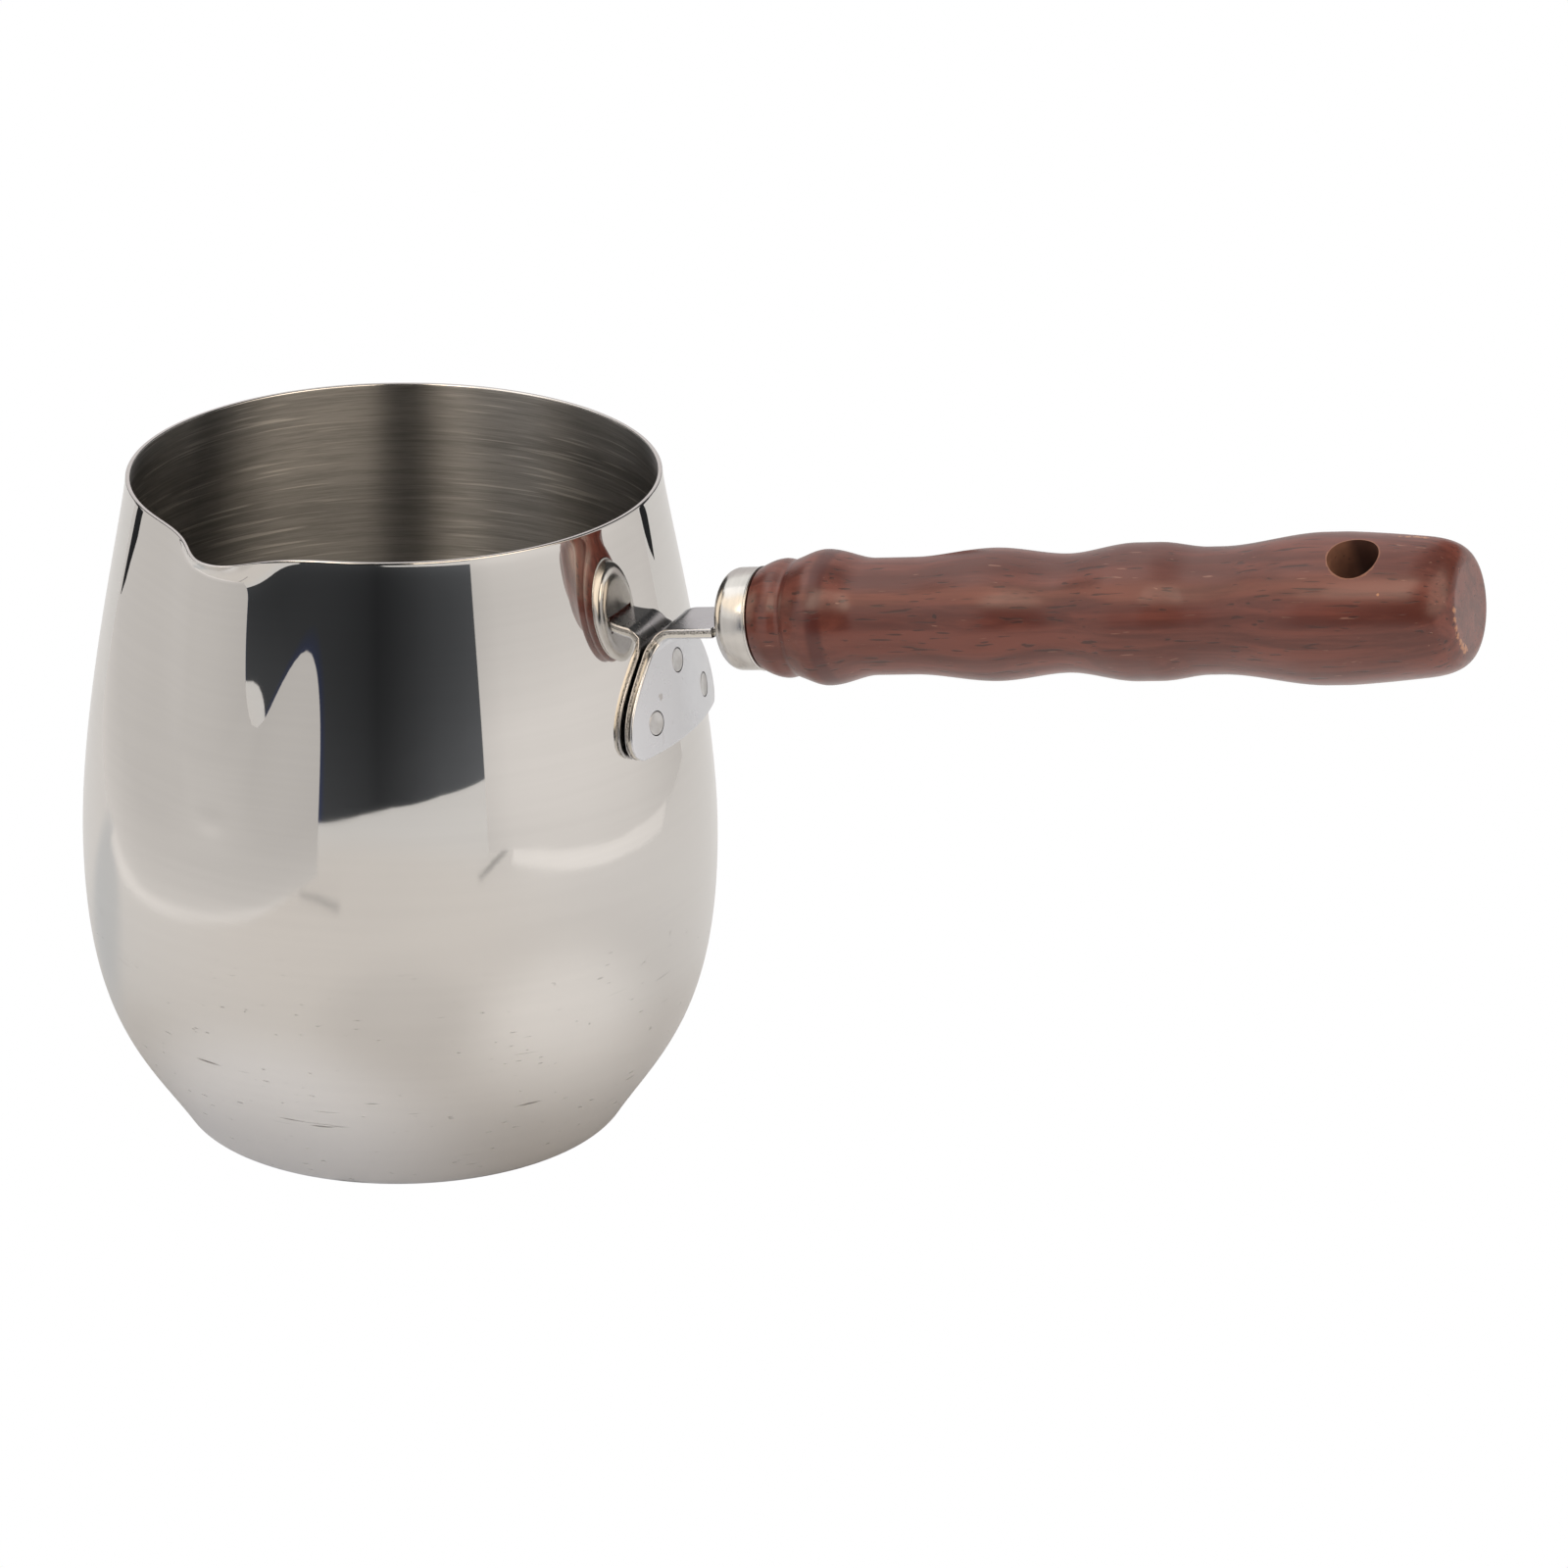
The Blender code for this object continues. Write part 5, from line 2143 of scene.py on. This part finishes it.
    # Painted shade: darker spots on the paper round and in front of the pot
    shades: tuple[FloorSpot, ...] = (
        FloorSpot((0.06, -0.22, 0.0), 0.10, 0.30, (0.90, 0.868, 0.840)),
        FloorSpot((0.0, 0.0, 0.0), 0.055, 0.085, (0.86, 0.835, 0.815)),
        FloorSpot((0.042, -0.088, 0.0), 0.020, 0.052, (0.78, 0.755, 0.735), strength=0.8),
        FloorSpot((-0.044, 0.0, 0.0), 0.015, 0.030, (0.755, 0.773, 0.793), squeeze=(0.35, 1.0, 1.0)),
    )
    # Painted light: the floor glows beside the base and under the handle to lift their shadows
    painted_glows: tuple[FloorSpot, ...] = (
        FloorSpot((0.084, -0.022, 0.0), 0.015, 0.060, (0.17, 0.168, 0.164)),
        FloorSpot((-0.010, -0.040, 0.0), 0.012, 0.050, (0.165, 0.175, 0.195)),
    )
    fill: Colour = (0.42, 0.415, 0.405)
    horizon: float = 0.04
    horizon_end: float = 0.15
    low_glow: float = 0.78
    high_glow: float = 0.05

    def floor(self) -> bpy.types.Object:
        """Lay the floor, which is white to the camera and pale paper to everything else, with painted shade
        in spots round the pot and painted glows beside its base and under the handle.

        Returns:
            The floor.
        """
        finish, graph, shader = start_material("floor_paper")
        place = object_place(graph)
        tint = self.paper
        for spot in self.shades:
            tint = spot.lay(graph, place, tint)
        # Painted light: the floor's own glow in those spots
        lift = BLACK
        for spot in self.painted_glows:
            lift = spot.lay(graph, place, lift)
        graph.fill(shader, {"Base Color": tint, "Roughness": self.floor_roughness, "Specular IOR Level": 0.0,
                            "Emission Color": lift, "Emission Strength": 1.0})
        path = graph.add("ShaderNodeLightPath")
        white = graph.add("ShaderNodeEmission", at={"Color": solid(WHITE), "Strength": 1.0})
        pick = graph.add("ShaderNodeMixShader", at={0: path.outputs["Is Camera Ray"], 1: shader.outputs[0],
                                                    2: white.outputs[0]})
        graph.fill(finish.node_tree.nodes["Material Output"], {"Surface": pick.outputs[0]})
        half, level = self.floor_half, -self.floor_sunk
        corners = [(x * half, y * half, level) for x, y in ((-1, -1), (1, -1), (1, 1), (-1, 1))]
        piece = make_piece("floor", np.array(corners), [(0, 1, 2, 3)], [finish])
        return piece

    def surroundings(self) -> None:
        """Fill the room: white to the camera, pale low down and dimmer overhead for the rest."""
        room = bpy.data.worlds.new("room")
        bpy.context.scene.world = room
        room.use_nodes = True
        graph = Graph(room.node_tree)
        graph.tree.nodes.clear()
        path = graph.add("ShaderNodeLightPath")
        up = graph.part(graph.add("ShaderNodeTexCoord").outputs["Generated"], 2)
        wide = graph.ramp(up, self.horizon, self.horizon_end, self.low_glow, self.high_glow)
        seen = graph.mix(path.outputs["Is Glossy Ray"], self.fill, graph_grey(graph, wide))
        shown = graph.mix(path.outputs["Is Camera Ray"], seen, WHITE)
        back = graph.add("ShaderNodeBackground", at={"Color": shown, "Strength": 1.0})
        graph.add("ShaderNodeOutputWorld", at={"Surface": back.outputs[0]})

    def camera(self) -> bpy.types.Object:
        """Set up the camera where the photographer's was.

        Returns:
            The camera.
        """
        data = bpy.data.cameras.new("camera")
        data.lens = self.lens
        data.sensor_width = self.sensor
        data.sensor_fit = "HORIZONTAL"
        data.clip_start, data.clip_end = self.clip
        eye = bpy.data.objects.new("camera", data)
        eye.location = self.camera_place
        eye.rotation_euler = self.camera_turn
        bpy.context.scene.collection.objects.link(eye)
        bpy.context.scene.camera = eye
        return eye

    def build(self) -> None:
        """Set the whole studio up."""
        self.surroundings()
        self.floor()
        for part in (*self.cards, *self.strips, *self.slivers, *self.lamps):
            part.build()
        self.camera()


def main() -> None:
    """Build the coffee pot, report its pieces and build the studio round it."""
    logging.basicConfig(level=logging.INFO, format="%(message)s")
    bpy.context.scene.view_settings.view_transform = "Standard"
    effects = Effects()
    pot = PotBody()
    bracket = Bracket(pot)
    along = bracket.handle_frame()
    pieces = [pot.build(effects), bracket.build(effects), *bracket.build_welds(effects),
              Ferrule(along).build(effects), Handle(along).build(effects)]
    for piece in pieces:
        LOG.info("%s: %d faces", piece.name, len(piece.data.polygons))
    Studio().build()


if __name__ == "__main__":
    main()
